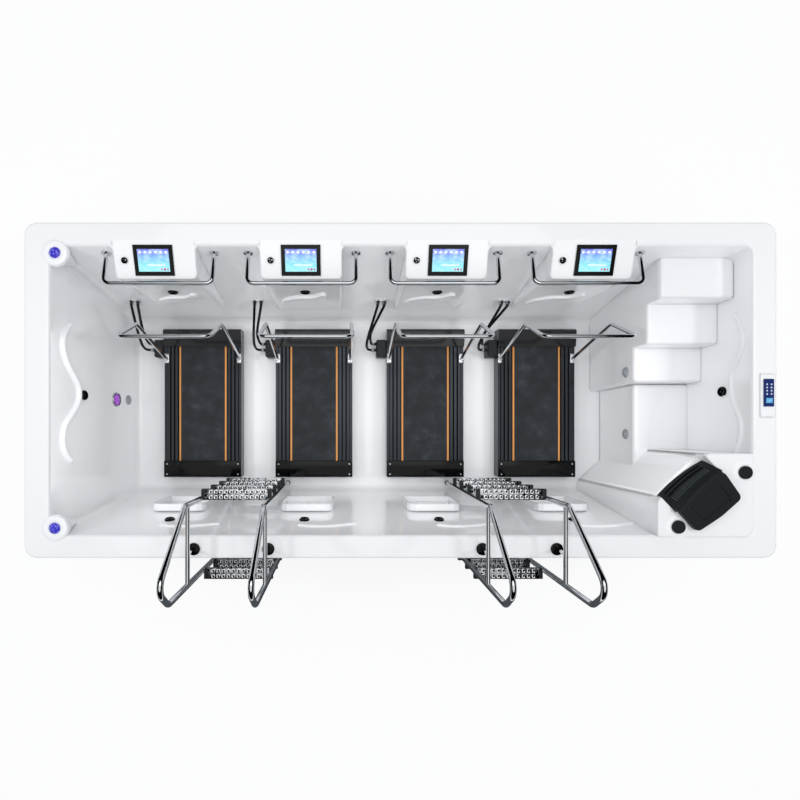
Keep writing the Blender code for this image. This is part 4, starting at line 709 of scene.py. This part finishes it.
def set_out(master, name, placements, body="pool", node=None):
    """Copies of a master, one for each placement; the master itself goes."""
    for number, placement in enumerate(placements, start=1):
        rides = body if body == "pool" else f"{body}_{number}"
        settle(copy_at(master, placement), f"{name}_{number}", rides, [f"{node}_{number}"] if node else [])
    remove(master)
    print(name, "x", len(placements))


def skin_of(node, name, angle=30):
    """A copy of a solid as a piece: loose triangles merged, flat faces whole, curves shaded smooth."""
    fresh()
    piece = bpy.data.objects.new(name, frame["nodes"][node].data.copy())
    scene.collection.objects.link(piece)
    edit_all(piece)
    bpy.ops.mesh.remove_doubles(threshold=0.00002)
    bpy.ops.mesh.dissolve_limited(angle_limit=radians(0.3))
    smooth(piece, angle)
    use_modifier(piece, "WEIGHTED_NORMAL", keep_sharp=True)
    return piece


# %% [markdown]
# ## The tub
#
# The solid has the tub's true shape: rim, leaning walls, four console pods, steps, bench, filter deck
# and foot pockets. Its faces are loose triangles with hard edges. A copy of it is merged so that
# neighbours share their corners, flat triangles become one face, and faces that meet at a small
# angle are shaded smooth. Weighted normals keep the large faces flat beside a curve. The round edges
# of the drawn sheet come from the acrylic finish.

# %% Tub skin
tub = give(skin_of("pool_shell", "tub_skin", 12), acrylic)
settle(tub, "tub_skin", "pool", ["pool_shell"])
print("tub", len(tub.data.polygons), "faces")

# %% [markdown]
# ## Raised waves and ridges in the sheet
#
# Low ridges are moulded into the walls: a lobed wave under every console's nozzle, a thin wave under
# those in front, and a long bow in each end wall. A tube that lies half in the wall gives that round
# relief, and its route is drawn in the wall's own plane. The lobed wave is broader, so it is a filled
# outline with a soft bevel.

# %% Waves
POD_JET_Z, FRONT_JET_Z = FLOOR_Z + 0.865, FLOOR_Z + 0.940
LEFT_JET_Z, RIGHT_JET_Z, LEFT_JET_Y, RIGHT_JET_Y = FLOOR_Z + 0.880, FLOOR_Z + 1.010, -0.010, 0.010
CONSOLE_WAVE = [(-226, -372), (-224, -318), (-196, -246), (-130, -192), (-50, -160), (34, -160),
                (94, -120), (136, -70), (160, -86), (164, -140), (150, -196), (108, -218), (30, -250),
                (-60, -282), (-140, -312), (-196, -352)]
FRONT_WAVE = [(-30, -125), (50, -150), (150, -155), (250, -140), (360, -110), (420, -95)]
LEFT_BOW = [(533, 1070), (450, 1132), (369, 1150), (290, 1132), (207, 1083), (130, 1012), (60, 960),
            (-5, 948), (-70, 960), (-160, 1030), (-250, 1118), (-330, 1148), (-405, 1150), (-480, 1115),
            (-535, 1055)]
RIGHT_BOW = [(597, 1142), (534, 1177), (434, 1207), (341, 1201), (236, 1162), (163, 1114), (84, 1099),
             (-13, 1106), (-94, 1132), (-175, 1170), (-254, 1194), (-348, 1190), (-411, 1171),
             (-460, 1151)]


def ridge(points, radius):
    """A half-round ridge with round ends along points that lie in a wall."""
    parts = [tube(flowing_path(points, 0.02), radius, 4)]
    for point in (points[0], points[-1]):
        fresh()
        bpy.ops.mesh.primitive_uv_sphere_add(segments=16, ring_count=8, radius=radius, location=point)
        parts.append(bpy.context.object)
        bpy.ops.object.transform_apply(location=True)
        smooth(parts[-1])
    return joined(parts)


corners = [Vector((u, v, 0.0)) for u, v in in_metres(CONSOLE_WAVE)]
closed = flowing_path(corners[-1:] + corners + corners[:1], 0.012)
# A flat closed curve, filled, thickened and given a soft edge
lobe = drawn(closed[1:-1], 60, True, dimensions="2D", fill_mode="BOTH", extrude=0.003, bevel_depth=0.009,
             bevel_resolution=3)
set_out(give(lobe, relief_acrylic), "console_wave",
        [on_wall("pod", x, POD_JET_Z) @ at(0, 0, 0.005) for x in POD_XS])
seat = on_wall("front", 0.0, FRONT_JET_Z)
wave = ridge([seat @ Vector((u, v, -0.002)) for u, v in in_metres(FRONT_WAVE)], 0.015)
set_out(give(wave, relief_acrylic), "front_wave", [at(x) for x in POD_XS])
for name, reach, route, radius in (("left_bow", wall_left, LEFT_BOW, 0.025),
                                   ("right_bow", wall_right, RIGHT_BOW, 0.018)):
    points = [Vector((reach(FLOOR_Z + h), y, FLOOR_Z + h)) for y, h in in_metres(route)]
    settle(give(ridge(points, radius), relief_acrylic), name)
print("waves and bows done")

# %% [markdown]
# ## Nozzles, suction fittings and the wall lamp's ring
#
# Round fittings are turned: a massage nozzle has a black collar, a hollow throat and a small eyeball in
# it, a suction fitting has a ribbed grey dome, and the lamp sits in a chromed ring. The nozzle's throat
# is a matte near-black: painted shade in the hollow. Each is one profile spun round, which gives the
# soft highlights that a flat disc never has.

# %% Nozzle
NOZZLE = [(0, 15.2), (6, 14.6), (9.5, 12.4), (11.5, 10.8), (23, 11), (27, 15.2), (33, 16.2), (39, 12),
          (41.5, 4), (41.5, -6), (0, -6)]
nozzle = give(turned(NOZZLE), piano_black, painted_shade_black)
# The throat's faces get the near-black matte finish: painted shade in the hollow
pick(nozzle, "FACE", lambda face: 0.009 < hypot(face.center.x, face.center.y) < 0.026 and face.center.z > 0)
paint_picked(nozzle)
spots = [on_wall("pod", x, POD_JET_Z) for x in POD_XS] + [on_wall("front", x, FRONT_JET_Z) for x in POD_XS]
spots += [on_wall("left", LEFT_JET_Y, LEFT_JET_Z), on_wall("right", RIGHT_JET_Y, RIGHT_JET_Z)]
set_out(nozzle, "nozzle", spots)

# %% Suction fittings and lamp ring
SUCTION = [(0, 22), (10, 21), (13, 17), (18, 19.5), (21, 15), (26, 17.5), (29, 12), (35, 13.5), (41, 8),
           (46, 4), (47, -4), (0, -4)]
suction = give(turned(SUCTION), satin_cap)
FACING_LEFT = Matrix.Rotation(-pi / 2, 4, "Y")
set_out(suction, "suction_fitting", [at(2.040, 0.205, FLOOR_Z + 0.654) @ FACING_LEFT,
                                     at(2.137, -0.337, FLOOR_Z + 0.480) @ FACING_LEFT,
                                     on_wall("left", -0.012, FLOOR_Z + 0.190)])
LAMP_SEAT = on_wall("left", -0.020, FLOOR_Z + 0.400)
RING = [(50, 4), (52, 12), (58, 15), (64, 12), (67, 4), (67, -3), (50, -3), (50, 4)]
settle(moved(give(turned(RING, 32), plated), LAMP_SEAT), "lamp_ring")

# %% [markdown]
# ## Pads of the corner lights
#
# The two lights in the left corners stand on round pads that swell out of the rim. The pad is part of
# the sheet, so its edge is a long soft shoulder, which a turned profile draws best.

# %% Light pads
PAD = [(44.5, -10), (44.5, 5), (48, 7.5), (60, 8.5), (76, 8), (88, 5), (96, 0.5), (100, -6), (101, -16),
       (98, -30), (44.5, -30), (44.5, -10)]
LIGHT_X = -HALF_LENGTH + RIM_LEFT + 0.045
LIGHT_YS = (HALF_WIDTH - RIM_BACK - 0.058, -HALF_WIDTH + RIM_FRONT + 0.058)
pad = give(turned(PAD, 48, 60), relief_acrylic)
set_out(pad, "light_pad", [at(LIGHT_X, y, RIM_Z) for y in LIGHT_YS])

# %% [markdown]
# ## Screens
#
# Each console carries a touch screen: a black glass bezel with round corners, and a display with a
# plain graphic, from violet at the top to bright cyan, with a row of round icons. The body is a block
# whose upright corners are bevelled; its top face is inset and let in by a millimetre. The display's
# own map (its UV) runs from 0 to 1 across the glass, so arithmetic nodes can draw the picture.

# %% Display finish
# A Mix node of colours lays OVER on UNDER, and MIXED is what comes out
UNDER, OVER, MIXED = 6, 7, 2
display = new_material("backlit_display_glass", "7FD8F5", 0.06, IOR=1.5, Emission_Strength=0.14)
chart = add_node(display, "TexCoord")
axes = add_node(display, "SeparateXYZ", {}, {"Vector": (chart, "UV")})
sky = add_node(display, "ValToRGB", {}, {"Fac": (axes, "Y")},
               [(0.0, "9CEFF4"), (0.30, "8CE6F6"), (0.62, "84BDF3"), (0.88, "7A84EA"), (1.0, "6667DC")])
# Soft clouds a fifth of the screen wide
cloud = add_node(display, "TexNoise", {"Scale": 5.0, "Detail": 2.0}, {"Vector": (chart, "UV")})
haze = add_node(display, "MapRange", {"From Min": 0.40, "From Max": 0.70, "To Max": 0.55},
                {"Value": (cloud, "Fac")})


def disc_row(row, cells, radius, squash):
    """1 inside a row of round spots on the display, 0 outside: a spot in the middle of each cell."""
    count = add_node(display, "Math", {"operation": "MULTIPLY", 1: cells}, {0: (axes, "X")})
    part = add_node(display, "Math", {"operation": "FRACT"}, {0: count})
    across = add_node(display, "Math", {"operation": "SUBTRACT", 1: 0.5}, {0: part})
    down = add_node(display, "Math", {"operation": "SUBTRACT", 1: row}, {0: (axes, "Y")})
    tall = add_node(display, "Math", {"operation": "MULTIPLY", 1: cells * squash}, {0: down})
    spot = add_node(display, "CombineXYZ", {}, {"X": across, "Y": tall})
    far = add_node(display, "VectorMath", {"operation": "LENGTH"}, {0: spot})
    return add_node(display, "MapRange", {"From Min": radius, "From Max": radius - 0.10},
                    {"Value": (far, "Value")})


def band(material, source, low, high):
    """1 between two values of a coordinate, 0 outside."""
    above = add_node(material, "Math", {"operation": "GREATER_THAN", 1: low}, {0: source})
    below = add_node(material, "Math", {"operation": "LESS_THAN", 1: high}, {0: source})
    return add_node(material, "Math", {"operation": "MULTIPLY"}, {0: above, 1: below})


# Icons along the top, a long bar, and small red marks at the lower right
icons = disc_row(0.86, 6, 0.30, 0.70)
bar_height = band(display, (axes, "Y"), 0.265, 0.315)
bar_span = band(display, (axes, "X"), 0.28, 0.86)
bar = add_node(display, "Math", {"operation": "MULTIPLY"}, {0: bar_height, 1: bar_span})
marks = disc_row(0.10, 9, 0.40, 0.74)
mark_span = band(display, (axes, "X"), 0.72, 0.95)
red = add_node(display, "Math", {"operation": "MULTIPLY"}, {0: marks, 1: mark_span})
layer = sky
for mask, colour in ((haze, "D6F6FF"), (icons, "F3F4FF"), (bar, "F2FFFC"), (red, "C8407A")):
    layer = (add_node(display, "Mix", {"data_type": "RGBA", OVER: hex_colour(colour)},
                      {"Factor": mask, UNDER: layer}), MIXED)
connect(display, *layer, "Base Color", "Emission Color")
print("display finish:", len(display.node_tree.nodes), "nodes")

# %% Screen
SCREEN, FACET, BEZEL = (0.296, 0.222), 0.0015, 0.0285
body = block((SCREEN[0], SCREEN[1], 0.0062), (0, 0, 0.0034), 0.0001, 1)
pick(body, "EDGE", lambda a, b: hypot(a.x - b.x, a.y - b.y) < 0.001 and abs(a.z - b.z) > 0.003)
bpy.ops.mesh.bevel(offset=0.012, segments=5, affect="EDGES")
pick(body, "FACE", lambda face: face.normal.z > 0.9 and face.area > 0.02)
bpy.ops.mesh.inset(thickness=FACET)
bpy.ops.transform.translate(value=(0, 0, 0.0008))
let_in(BEZEL, 0.0010)
bpy.ops.object.mode_set(mode="OBJECT")
give(body, piano_black, display)
GLASS = [side - 2 * (FACET + BEZEL) for side in SCREEN]
for face in body.data.polygons:
    if face.normal.z > 0.9 and face.center.z < 0.0069 and face.area > 0.02:
        face.material_index = 1
lay_map(body, "screen_map", lambda spot: (spot.x / GLASS[0] + 0.5, spot.y / GLASS[1] + 0.5))
smooth(body)
set_out(body, "touch_screen", [on_console(x, SCREEN_Y) for x in SCREEN_XS], "pool", "screen")

# %% [markdown]
# ## Start buttons
#
# To the left of each screen is a push button: a black disc with a chromed rim and bright bars in it.
# It is turned in one go, and the bars are faces of the disc that get the chrome finish.

# %% Button
BUTTON = [(0, 12.5), (6, 12.5), (12, 12), (16.5, 11.2), (18.5, 12.2), (21.5, 11.8), (23.2, 9.8), (23.5, 4),
          (13, 3.8), (12.8, -26), (0, -26)]
button = give(turned(BUTTON, 24), piano_black, plated)


def bright_bar(face):
    turn = atan2(face.center.y, face.center.x)
    radius = hypot(face.center.x, face.center.y)
    bars = (turn * 3 / pi) % 2 < 0.62 and 0.004 < radius < 0.0165
    return face.center.z > 0.003 and bars


pick(button, "FACE", bright_bar)
paint_picked(button)
BUTTON_SHIFT = -0.228
set_out(button, "push_button", [on_console(x + BUTTON_SHIFT, SCREEN_Y) for x in POD_XS], "start_button",
        "start_button")

# %% [markdown]
# ## Grab rails
#
# In front of each console stands a U of polished tube, bent from one length, with a round flange welded
# to each end. The route is the solid's, with more steps in each bend, and the flanges are turned, with
# a raised neck.

# %% Grab rails
FLANGE = [(0, 12), (17, 12), (19.5, 9), (22.5, 7.2), (32, 6.6), (35.5, 4.8), (36, 0.5), (0, 0.5)]
GRAB_ROOT_Z, GRAB_Y, GRAB_SPAN = RIM_Z - 0.105, POD_FRONT - 0.040, 0.824
root_y = wall_back(GRAB_ROOT_Z) - 0.008
top_z = GRAB_ROOT_Z + (root_y - GRAB_Y) * LEAN_BACK / DEPTH
ends = (-GRAB_SPAN / 2, GRAB_SPAN / 2)
corners = [(ends[0], root_y, GRAB_ROOT_Z), (ends[0], GRAB_Y, top_z), (ends[1], GRAB_Y, top_z),
           (ends[1], root_y, GRAB_ROOT_Z)]
flange = turned(FLANGE, 32)
shapes = [tube(rounded_path(corners, [0.050, 0.050], 10), 0.016, 6)]
shapes += [copy_at(flange, on_wall("back", end, GRAB_ROOT_Z)) for end in ends]
remove(flange)
set_out(give(joined(shapes), stainless), "polished_grab_rail", [at(x) for x in GRAB_XS], "pool",
        "grab_rail")

# %% [markdown]
# ## Treadmill belts
#
# The belt is a rubber sheet on fabric, charcoal grey and rough, with an orange line along each edge so
# that a walker sees where the belt ends. Wet feet leave it mottled: pale where lime has dried,
# dark where it is worn smooth. The belt's own map gives the place across it, which draws the lines;
# Noise at two scales in Object coordinates draws the wear.

# %% Belt finish
belt_rubber = new_material("calendered_belt_rubber", "2A2E33", 0.62, Specular_IOR_Level=0.35)
chart = add_node(belt_rubber, "TexCoord")
axes = add_node(belt_rubber, "SeparateXYZ", {}, {"Vector": (chart, "UV")})
# Wear patches 120 mm across, grit 4 mm across
patch = add_node(belt_rubber, "TexNoise", {"Scale": 8.0, "Detail": 4.0, "Roughness": 0.65},
                 {"Vector": (chart, "Object")})
grit = add_node(belt_rubber, "TexNoise", {"Scale": 250.0, "Detail": 2.0}, {"Vector": (chart, "Object")})
worn = add_node(belt_rubber, "ValToRGB", {}, {"Fac": (patch, "Fac")},
                [(0.30, "16191C"), (0.48, "1F2327"), (0.60, "2B2F34"), (0.74, "43474C")])
mottled = add_node(belt_rubber, "ValToRGB", {}, {"Fac": (grit, "Fac")},
                   [(0.35, "1A1D20"), (0.65, "3A3E43")])
rubber = add_node(belt_rubber, "Mix", {"data_type": "RGBA", 0: 0.35}, {UNDER: worn, OVER: mottled})
# The share of the belt's width that lies between a place and the middle
offset = add_node(belt_rubber, "Math", {"operation": "SUBTRACT", 1: 0.5}, {0: (axes, "X")})
side = add_node(belt_rubber, "Math", {"operation": "ABSOLUTE"}, {0: offset})
line = band(belt_rubber, side, 0.462, 0.497)
striped = add_node(belt_rubber, "Mix", {"data_type": "RGBA", OVER: hex_colour("D9944F")},
                   {"Factor": line, UNDER: (rubber, MIXED)})
connect(belt_rubber, striped, MIXED, "Base Color")
bump = add_node(belt_rubber, "Bump", {"Strength": 0.4, "Distance": 0.0008}, {"Height": (grit, "Fac")})
connect(belt_rubber, bump, "Normal", "Normal")

# %% Belts
BELT_WIDTH = 0.464
for number, x in enumerate(DECK_XS, start=1):
    belt = skin_of(f"running_belt_{number}", "belt")
    lay_map(belt, "belt_map", lambda spot: ((spot.x - x) / BELT_WIDTH + 0.5, spot.y))
    settle(give(belt, belt_rubber), f"walking_belt_{number}", "pool", [f"running_belt_{number}"])
print("belts done")

# %% [markdown]
# ## Rear covers
#
# A glossy black cover closes the rear of each deck over the tail roller: a pressed cap with rounded
# edges, held by four small countersunk screws. The cap is a bevelled block and the screws are turned.

# %% Rear covers and screws
DECK_HALF, DECK_REAR_Y, DECK_TOP = 0.375, -0.761, FLOOR_Z + 0.136
COVER = (0.7505, 0.158, 0.006)
cap = block(COVER, (0, DECK_REAR_Y + COVER[1] / 2, DECK_TOP + 0.0113), 0.0028, 3)
SCREW = [(0, 0.2), (1.8, 0.4), (3, 1.6), (5.8, 1.8), (7, 0.6), (7.2, -2), (0, -2)]
screw = give(turned(SCREW, 16), stainless)
shapes = [give(cap, piano_black)]
shapes += [copy_at(screw, at(u, DECK_REAR_Y + v, DECK_TOP + 0.0145)) for u in (-0.345, 0.345)
           for v in (0.028, 0.128)]
remove(screw)
set_out(joined(shapes), "rear_cover", [at(x) for x in DECK_XS])

# %% [markdown]
# ## Handrails on the treadmills
#
# One bent tube per treadmill: it rises from a foot plate on each side rail, leans forward to a knee,
# comes back, and crosses in front of the walker. The plates are bevelled blocks with two bolts each.

# %% Handrails
FOOT_Y, FOOT_Z, BOLT_REACH = 0.397, DECK_TOP + 2 * GAP, 0.034
half = DECK_HALF - 0.017
side = [(FOOT_Y, FOOT_Z + 0.003), (0.588, FLOOR_Z + 0.839), (0.419, FLOOR_Z + 1.205)]
corners = [(-half, y, z) for y, z in side] + [(half, y, z) for y, z in reversed(side)]
shapes = [tube(rounded_path(corners, [0.030, 0.060, 0.060, 0.030], 10), 0.016, 6)]
COLLAR = [(0, 22), (16.5, 22), (18.5, 20), (19.5, 12), (21.5, 6.5), (21.5, 4), (0, 4)]
BOLT = [(0, 10.5), (3.5, 10.5), (5.5, 8.5), (6, 5.5), (0, 5.5)]
collar, bolt = turned(COLLAR, 24), turned(BOLT, 12)
for face in (-1, 1):
    middle = face * (DECK_HALF - GAP - 0.0222)
    shapes.append(block((0.0435, 0.090, 0.006), (middle, FOOT_Y, FOOT_Z + 0.003), 0.0018, 2))
    shapes.append(copy_at(collar, at(face * half, FOOT_Y, FOOT_Z)))
    shapes += [copy_at(bolt, at(middle, FOOT_Y + along, FOOT_Z)) for along in (-BOLT_REACH, BOLT_REACH)]
remove(collar, bolt)
set_out(give(joined(shapes), stainless), "bent_handrail", [at(x) for x in DECK_XS], "pool", "handrail")

# %% [markdown]
# ## Hoses
#
# Two black hoses per treadmill bring the water that drives it. Each starts in a chromed elbow on the
# wall, bows down under its own weight, and goes into a gland on the motor. They are held at both
# ends, so their route is the one in the solids: a smooth curve through a few points. The fittings are
# turned: a collar, a neck, and a ferrule over the hose's end.

# %% Hose fittings
HOSE_RADIUS, SPREAD = 0.0125, 0.0105
ELBOW = [(0, 40), (14, 40), (16.5, 36), (16.5, 24), (14, 21), (14, 17), (19, 15), (20.5, 11), (20.5, 4),
         (0, 4)]
GLAND = [(0, 30), (13.8, 30), (16, 26), (16.2, 16), (18.5, 13), (18.5, 4), (16, 0), (0, 0)]
elbow, gland = give(turned(ELBOW, 20), plated), give(turned(GLAND, 20), plated)

# %% Hose routes
MOTOR_LEFT = -DECK_HALF - 0.003 - 2 * GAP - 0.098
PORT_OUT, PORT_Z = 0.022 + GAP, FLOOR_Z + 0.092
for number, (deck_x, wall_x) in enumerate(zip(DECK_XS, HOSE_XS), start=1):
    seat = on_wall("back", wall_x, FLOOR_Z + 0.430)
    port_x = deck_x + MOTOR_LEFT - PORT_OUT
    shapes = [give(moved(block((0.100, 0.038, 0.012), (0, 0, GAP + 0.006), 0.004, 3), seat), acrylic)]
    for side, port_y in ((1, 0.545), (-1, 0.485)):
        across = side * 0.030
        # The front hose swings out twice as far as the back one, clear of it
        hang = (3.2 if side == 1 else 6.4) * SPREAD
        route = [seat @ Vector((across, 0, 0.006)), seat @ Vector((across, 0, 0.012 + 4 * SPREAD)),
                 Vector((port_x - hang, port_y + 0.090, PORT_Z + 0.170)),
                 Vector((port_x - hang, port_y + 0.010, PORT_Z + 0.045)),
                 Vector((port_x - 1.6 * SPREAD, port_y, PORT_Z)), Vector((port_x, port_y, PORT_Z))]
        shapes.append(give(tube(flowing_path(route, 0.016), HOSE_RADIUS, 4), hose_rubber))
        shapes.append(copy_at(elbow, seat @ at(across, 0, 0.008)))
        shapes.append(copy_at(gland, at(port_x + 0.004, port_y, PORT_Z) @ FACING_LEFT))
    settle(joined(shapes), f"water_hoses_{number}", "pool", [f"hose_pair_{number}"])
remove(elbow, gland)
print("hoses done")

# %% [markdown]
# ## Filter corner
#
# The filter's cover is moulded ABS: a lid behind a bowed ridge, and in front of it a louvre face that
# slopes down to the water, with two long slots and a comb of fine fins. The solids have its form.
# The fins, the groove round the lid's panel and the lid's small lock are finer than a solid should be.
# The fins are a lighter grey than the face: a painted highlight where they catch the light. Matte
# near-black strips in the slots and between the fins are painted shade. One fin is a bevelled blade,
# made anew at each place along the bow, because its length changes there, and turned to stand square
# to it.

# %% Louvre fins
FILTER = at(2.205, -0.749) @ Matrix.Rotation(radians(44.0), 4, "Z")
LOUVRE_HALF, LOUVRE_REACH, LOUVRE_SKEW = 0.220, 0.116, 0.096
FIN_COUNT, FIN_REACH, SLOTS = 20, 0.158, (0.16, 0.34)


def louvre_point(a, share, lift=0.0):
    """A point on the louvre's face, at a place along it and a share of the way up from its foot."""
    bow = 1 - (a / LOUVRE_HALF) ** 2
    foot = Vector((a, LOUVRE_REACH + 0.021 * bow - LOUVRE_SKEW * a, RIM_Z - 0.076))
    head = Vector((a, 0.020 * bow + 0.012, RIM_Z + 0.042))
    normal = (head - foot).cross(Vector((1, 0, 0))).normalized()
    return foot.lerp(head, share) + normal * lift


def along_louvre(half, share, lift):
    """Points along the louvre, half its length to each side of the middle."""
    return [FILTER @ louvre_point(half * (2 * i / 12 - 1), share, lift) for i in range(13)]


fins = []
for i in range(FIN_COUNT):
    a = FIN_REACH * (2 * i / (FIN_COUNT - 1) - 1)
    low, high = louvre_point(a, 0.47, 0.002), louvre_point(a, 0.73, 0.002)
    blade = block((0.0078, (high - low).length, 0.0060), (0, 0, 0), 0.0012, 1)
    turn = (high - low).to_track_quat("Y", "Z").to_matrix().to_4x4()
    fins.append(moved(blade, FILTER @ at(*(low + high) / 2) @ turn))
lips = [tube(along_louvre(0.167, share + side, 0.0002), 0.0018, 2) for share in SLOTS
        for side in (-0.050, 0.050)]
# The fins get the lighter plastic: a painted highlight where they catch the light
comb = joined([give(joined(fins), fin_highlight_abs), give(joined(lips), black_abs)])
# Near-black matte strips in the two slots and between the fins: painted shade
shade_strips = [tube(along_louvre(0.165, share, -0.0040), 0.0062, 3) for share in SLOTS]
shade_strips += [tube(along_louvre(0.163, share, -0.0062), 0.0075, 3) for share in (0.50, 0.60, 0.70)]
settle(joined([comb, give(joined(shade_strips), painted_shade_black)]), "louvre_comb")
print("louvre", FIN_COUNT, "fins")

# %% Lid panel groove and lock
half = 0.128
panel = [(-half, -0.030), (half + 0.010, -0.034), (half - 0.006, -0.190), (0, -0.188), (-half, -0.170)]
LID_TOP = RIM_Z + 0.018 + 2 * GAP + 0.022
BEND_STEPS = 5
groove_route = rounded_path([FILTER @ Vector((x, y, LID_TOP)) for x, y in panel + panel[:2]],
                            [0.026, 0.026, 0.30, 0.026, 0.026], BEND_STEPS)
# The route comes round to its first corner again, so its way there at the start is dropped
groove = give(tube(groove_route[BEND_STEPS + 1:], 0.0016, 2), black_abs)
LOCK = [(0, 1.6), (3, 2.6), (5.2, 2.4), (6.2, 0.6), (6.2, -2), (0, -2)]
lock = give(moved(turned(LOCK, 16), FILTER @ at(0.112, -0.196, LID_TOP)), plated)
settle(joined([groove, lock]), "lid_trim", "filter_lid")

# %% [markdown]
# ## Knobs on their bosses
#
# Two knobs turn the air and the water between the fittings. Each stands on a low round boss that is
# part of the sheet. A boss is a turned shape with a soft shoulder; the knob keeps its solid, whose
# scallops are cut already.

# %% Bosses
BOSS = [(0, 0.2), (48, 0.2), (53, 5), (60, 6.6), (68, 5.6), (77, 2.8), (86, 0.6), (92, -1), (0, -4)]
KNOBS = ((2.560, -0.611), (2.063, -1.015))
boss = give(turned(BOSS, 48, 60), relief_acrylic)
set_out(boss, "knob_boss", [at(x, y, RIM_Z) for x, y in KNOBS])

# %% [markdown]
# ## Control pad
#
# On the right rim is the attendant's pad: a navy membrane film with eight keys and a small display.
# The keys are blisters pressed in the film, so they are turned as shallow domes. The display is a
# thin block with its own face inset.

# %% Pad keys and display
PAD_X, PAD_Y, PAD_TOP = 2.725, -0.019, RIM_Z + 0.012 + GAP + 0.008
KEY = [(0, 2.2), (4, 1.9), (6.6, 0.6), (7.2, -1), (0, -1)]
key = give(turned(KEY, 16, 60), pale_key)
shapes = [copy_at(key, at(PAD_X + u, PAD_Y - 0.010 + 0.024 * i, PAD_TOP)) for u in (-0.016, 0.016)
          for i in range(4)]
remove(key)
window = block((0.046, 0.036, 0.003), (PAD_X, PAD_Y - 0.058, PAD_TOP + 0.0012), 0.001, 2)
pick(window, "FACE", lambda face: face.normal.z > 0.9 and face.area > 0.001)
let_in(0.003, 0.0006)
bpy.ops.object.mode_set(mode="OBJECT")
shapes.append(give(window, small_display))
settle(joined(shapes), "control_pad_keys")
print("control pad done")

# %% [markdown]
# ## Ladders
#
# A free-standing ladder straddles the rim. Each side is one polished tube: up from the pool's floor,
# back over the rim in a long slope, round a tight loop, and down outside. A bar across and a short
# post to a round rubber foot hold it on the rim. The treads are pressed from sheet, with rows of
# punched grips between black end caps.

# %% Ladder side frames
INNER_Y, OUTER_Y, SPAN = -0.831, -1.405, 0.553
BAR_Z, POST_Y = 1.600, -1.180
side = [(INNER_Y, FLOOR_Z + 0.020), (INNER_Y, 1.660), (-1.260, 2.180), (OUTER_Y, 1.990), (OUTER_Y, 0.020)]
FOOT = [(0, 20), (13, 20), (17, 16), (30, 13.5), (40, 12), (45.5, 8.5), (46, 0.5), (0, 0.5)]
TIP = [(0, 46), (20, 46), (22.8, 42), (23.5, 30), (23.5, 4), (21.5, 0.3), (0, 0.3)]
foot, tip = give(turned(FOOT, 28), piano_black), give(turned(TIP, 24), piano_black)
metal, black = [], []
for x in (-SPAN / 2, SPAN / 2):
    metal += [tube(rounded_path([(x, y, z) for y, z in side], [0.080, 0.085, 0.090], 10), 0.020, 6),
              tube([(x, INNER_Y, BAR_Z), (x, OUTER_Y, BAR_Z)], 0.016, 4),
              tube([(x, POST_Y, RIM_Z + 0.006), (x, POST_Y, BAR_Z)], 0.013, 4)]
    black += [copy_at(foot, at(x, POST_Y, RIM_Z + GAP)), copy_at(tip, at(x, INNER_Y, FLOOR_Z + GAP)),
              copy_at(tip, at(x, OUTER_Y, 0))]
for piece in metal:
    give(piece, stainless)
remove(foot, tip)
print("ladder frame:", len(metal), "tubes")

# %% Ladder treads
WIDTH, DEEP, THICK = SPAN - 0.052, 0.088, 0.030
CUP_COLUMNS, CUP_PITCH, CUP_ROWS = 11, 0.040, (-0.021, 0.021)
TREADS, RISE, END_X = 4, 0.275, SPAN / 2 - 0.019
plate = give(block((WIDTH, DEEP, THICK - 0.002), (0, 0, -THICK / 2), 0.004, 2), punched_steel)
cup = block((0.031, 0.034, 0.006), (0, 0, 0.001), 0.0025, 2)
pick(cup, "FACE", lambda face: face.normal.z > 0.99 and face.area > 0.0002)
let_in(0.0080, 0.004)
# The grip's sunken floor, still picked, gets black plastic: painted shade in the hole
give(cup, stainless, black_abs)
paint_picked(cup)
cups = [copy_at(cup, at((i - (CUP_COLUMNS - 1) / 2) * CUP_PITCH, row)) for row in CUP_ROWS
        for i in range(CUP_COLUMNS)]
remove(cup)
plate = joined([plate] + cups)
end = give(block((0.034, DEEP, THICK), (0, 0, -THICK / 2), 0.006, 3), black_abs)
treads = []
for i in range(TREADS):
    for y, top, reach in ((INNER_Y, 1.275, 1), (OUTER_Y, 1.200, -1)):
        spot = (y + reach * (DEEP / 2 - 0.012), top - RISE * i)
        treads.append(copy_at(plate, at(0, *spot)))
        treads += [copy_at(end, at(x, *spot)) for x in (-END_X, END_X)]
remove(plate, end)
LADDER_XS = (-1.260, 0.885)
set_out(joined(metal + black + treads), "entry_ladder", [at(x) for x in LADDER_XS], "ladder", "ladder")
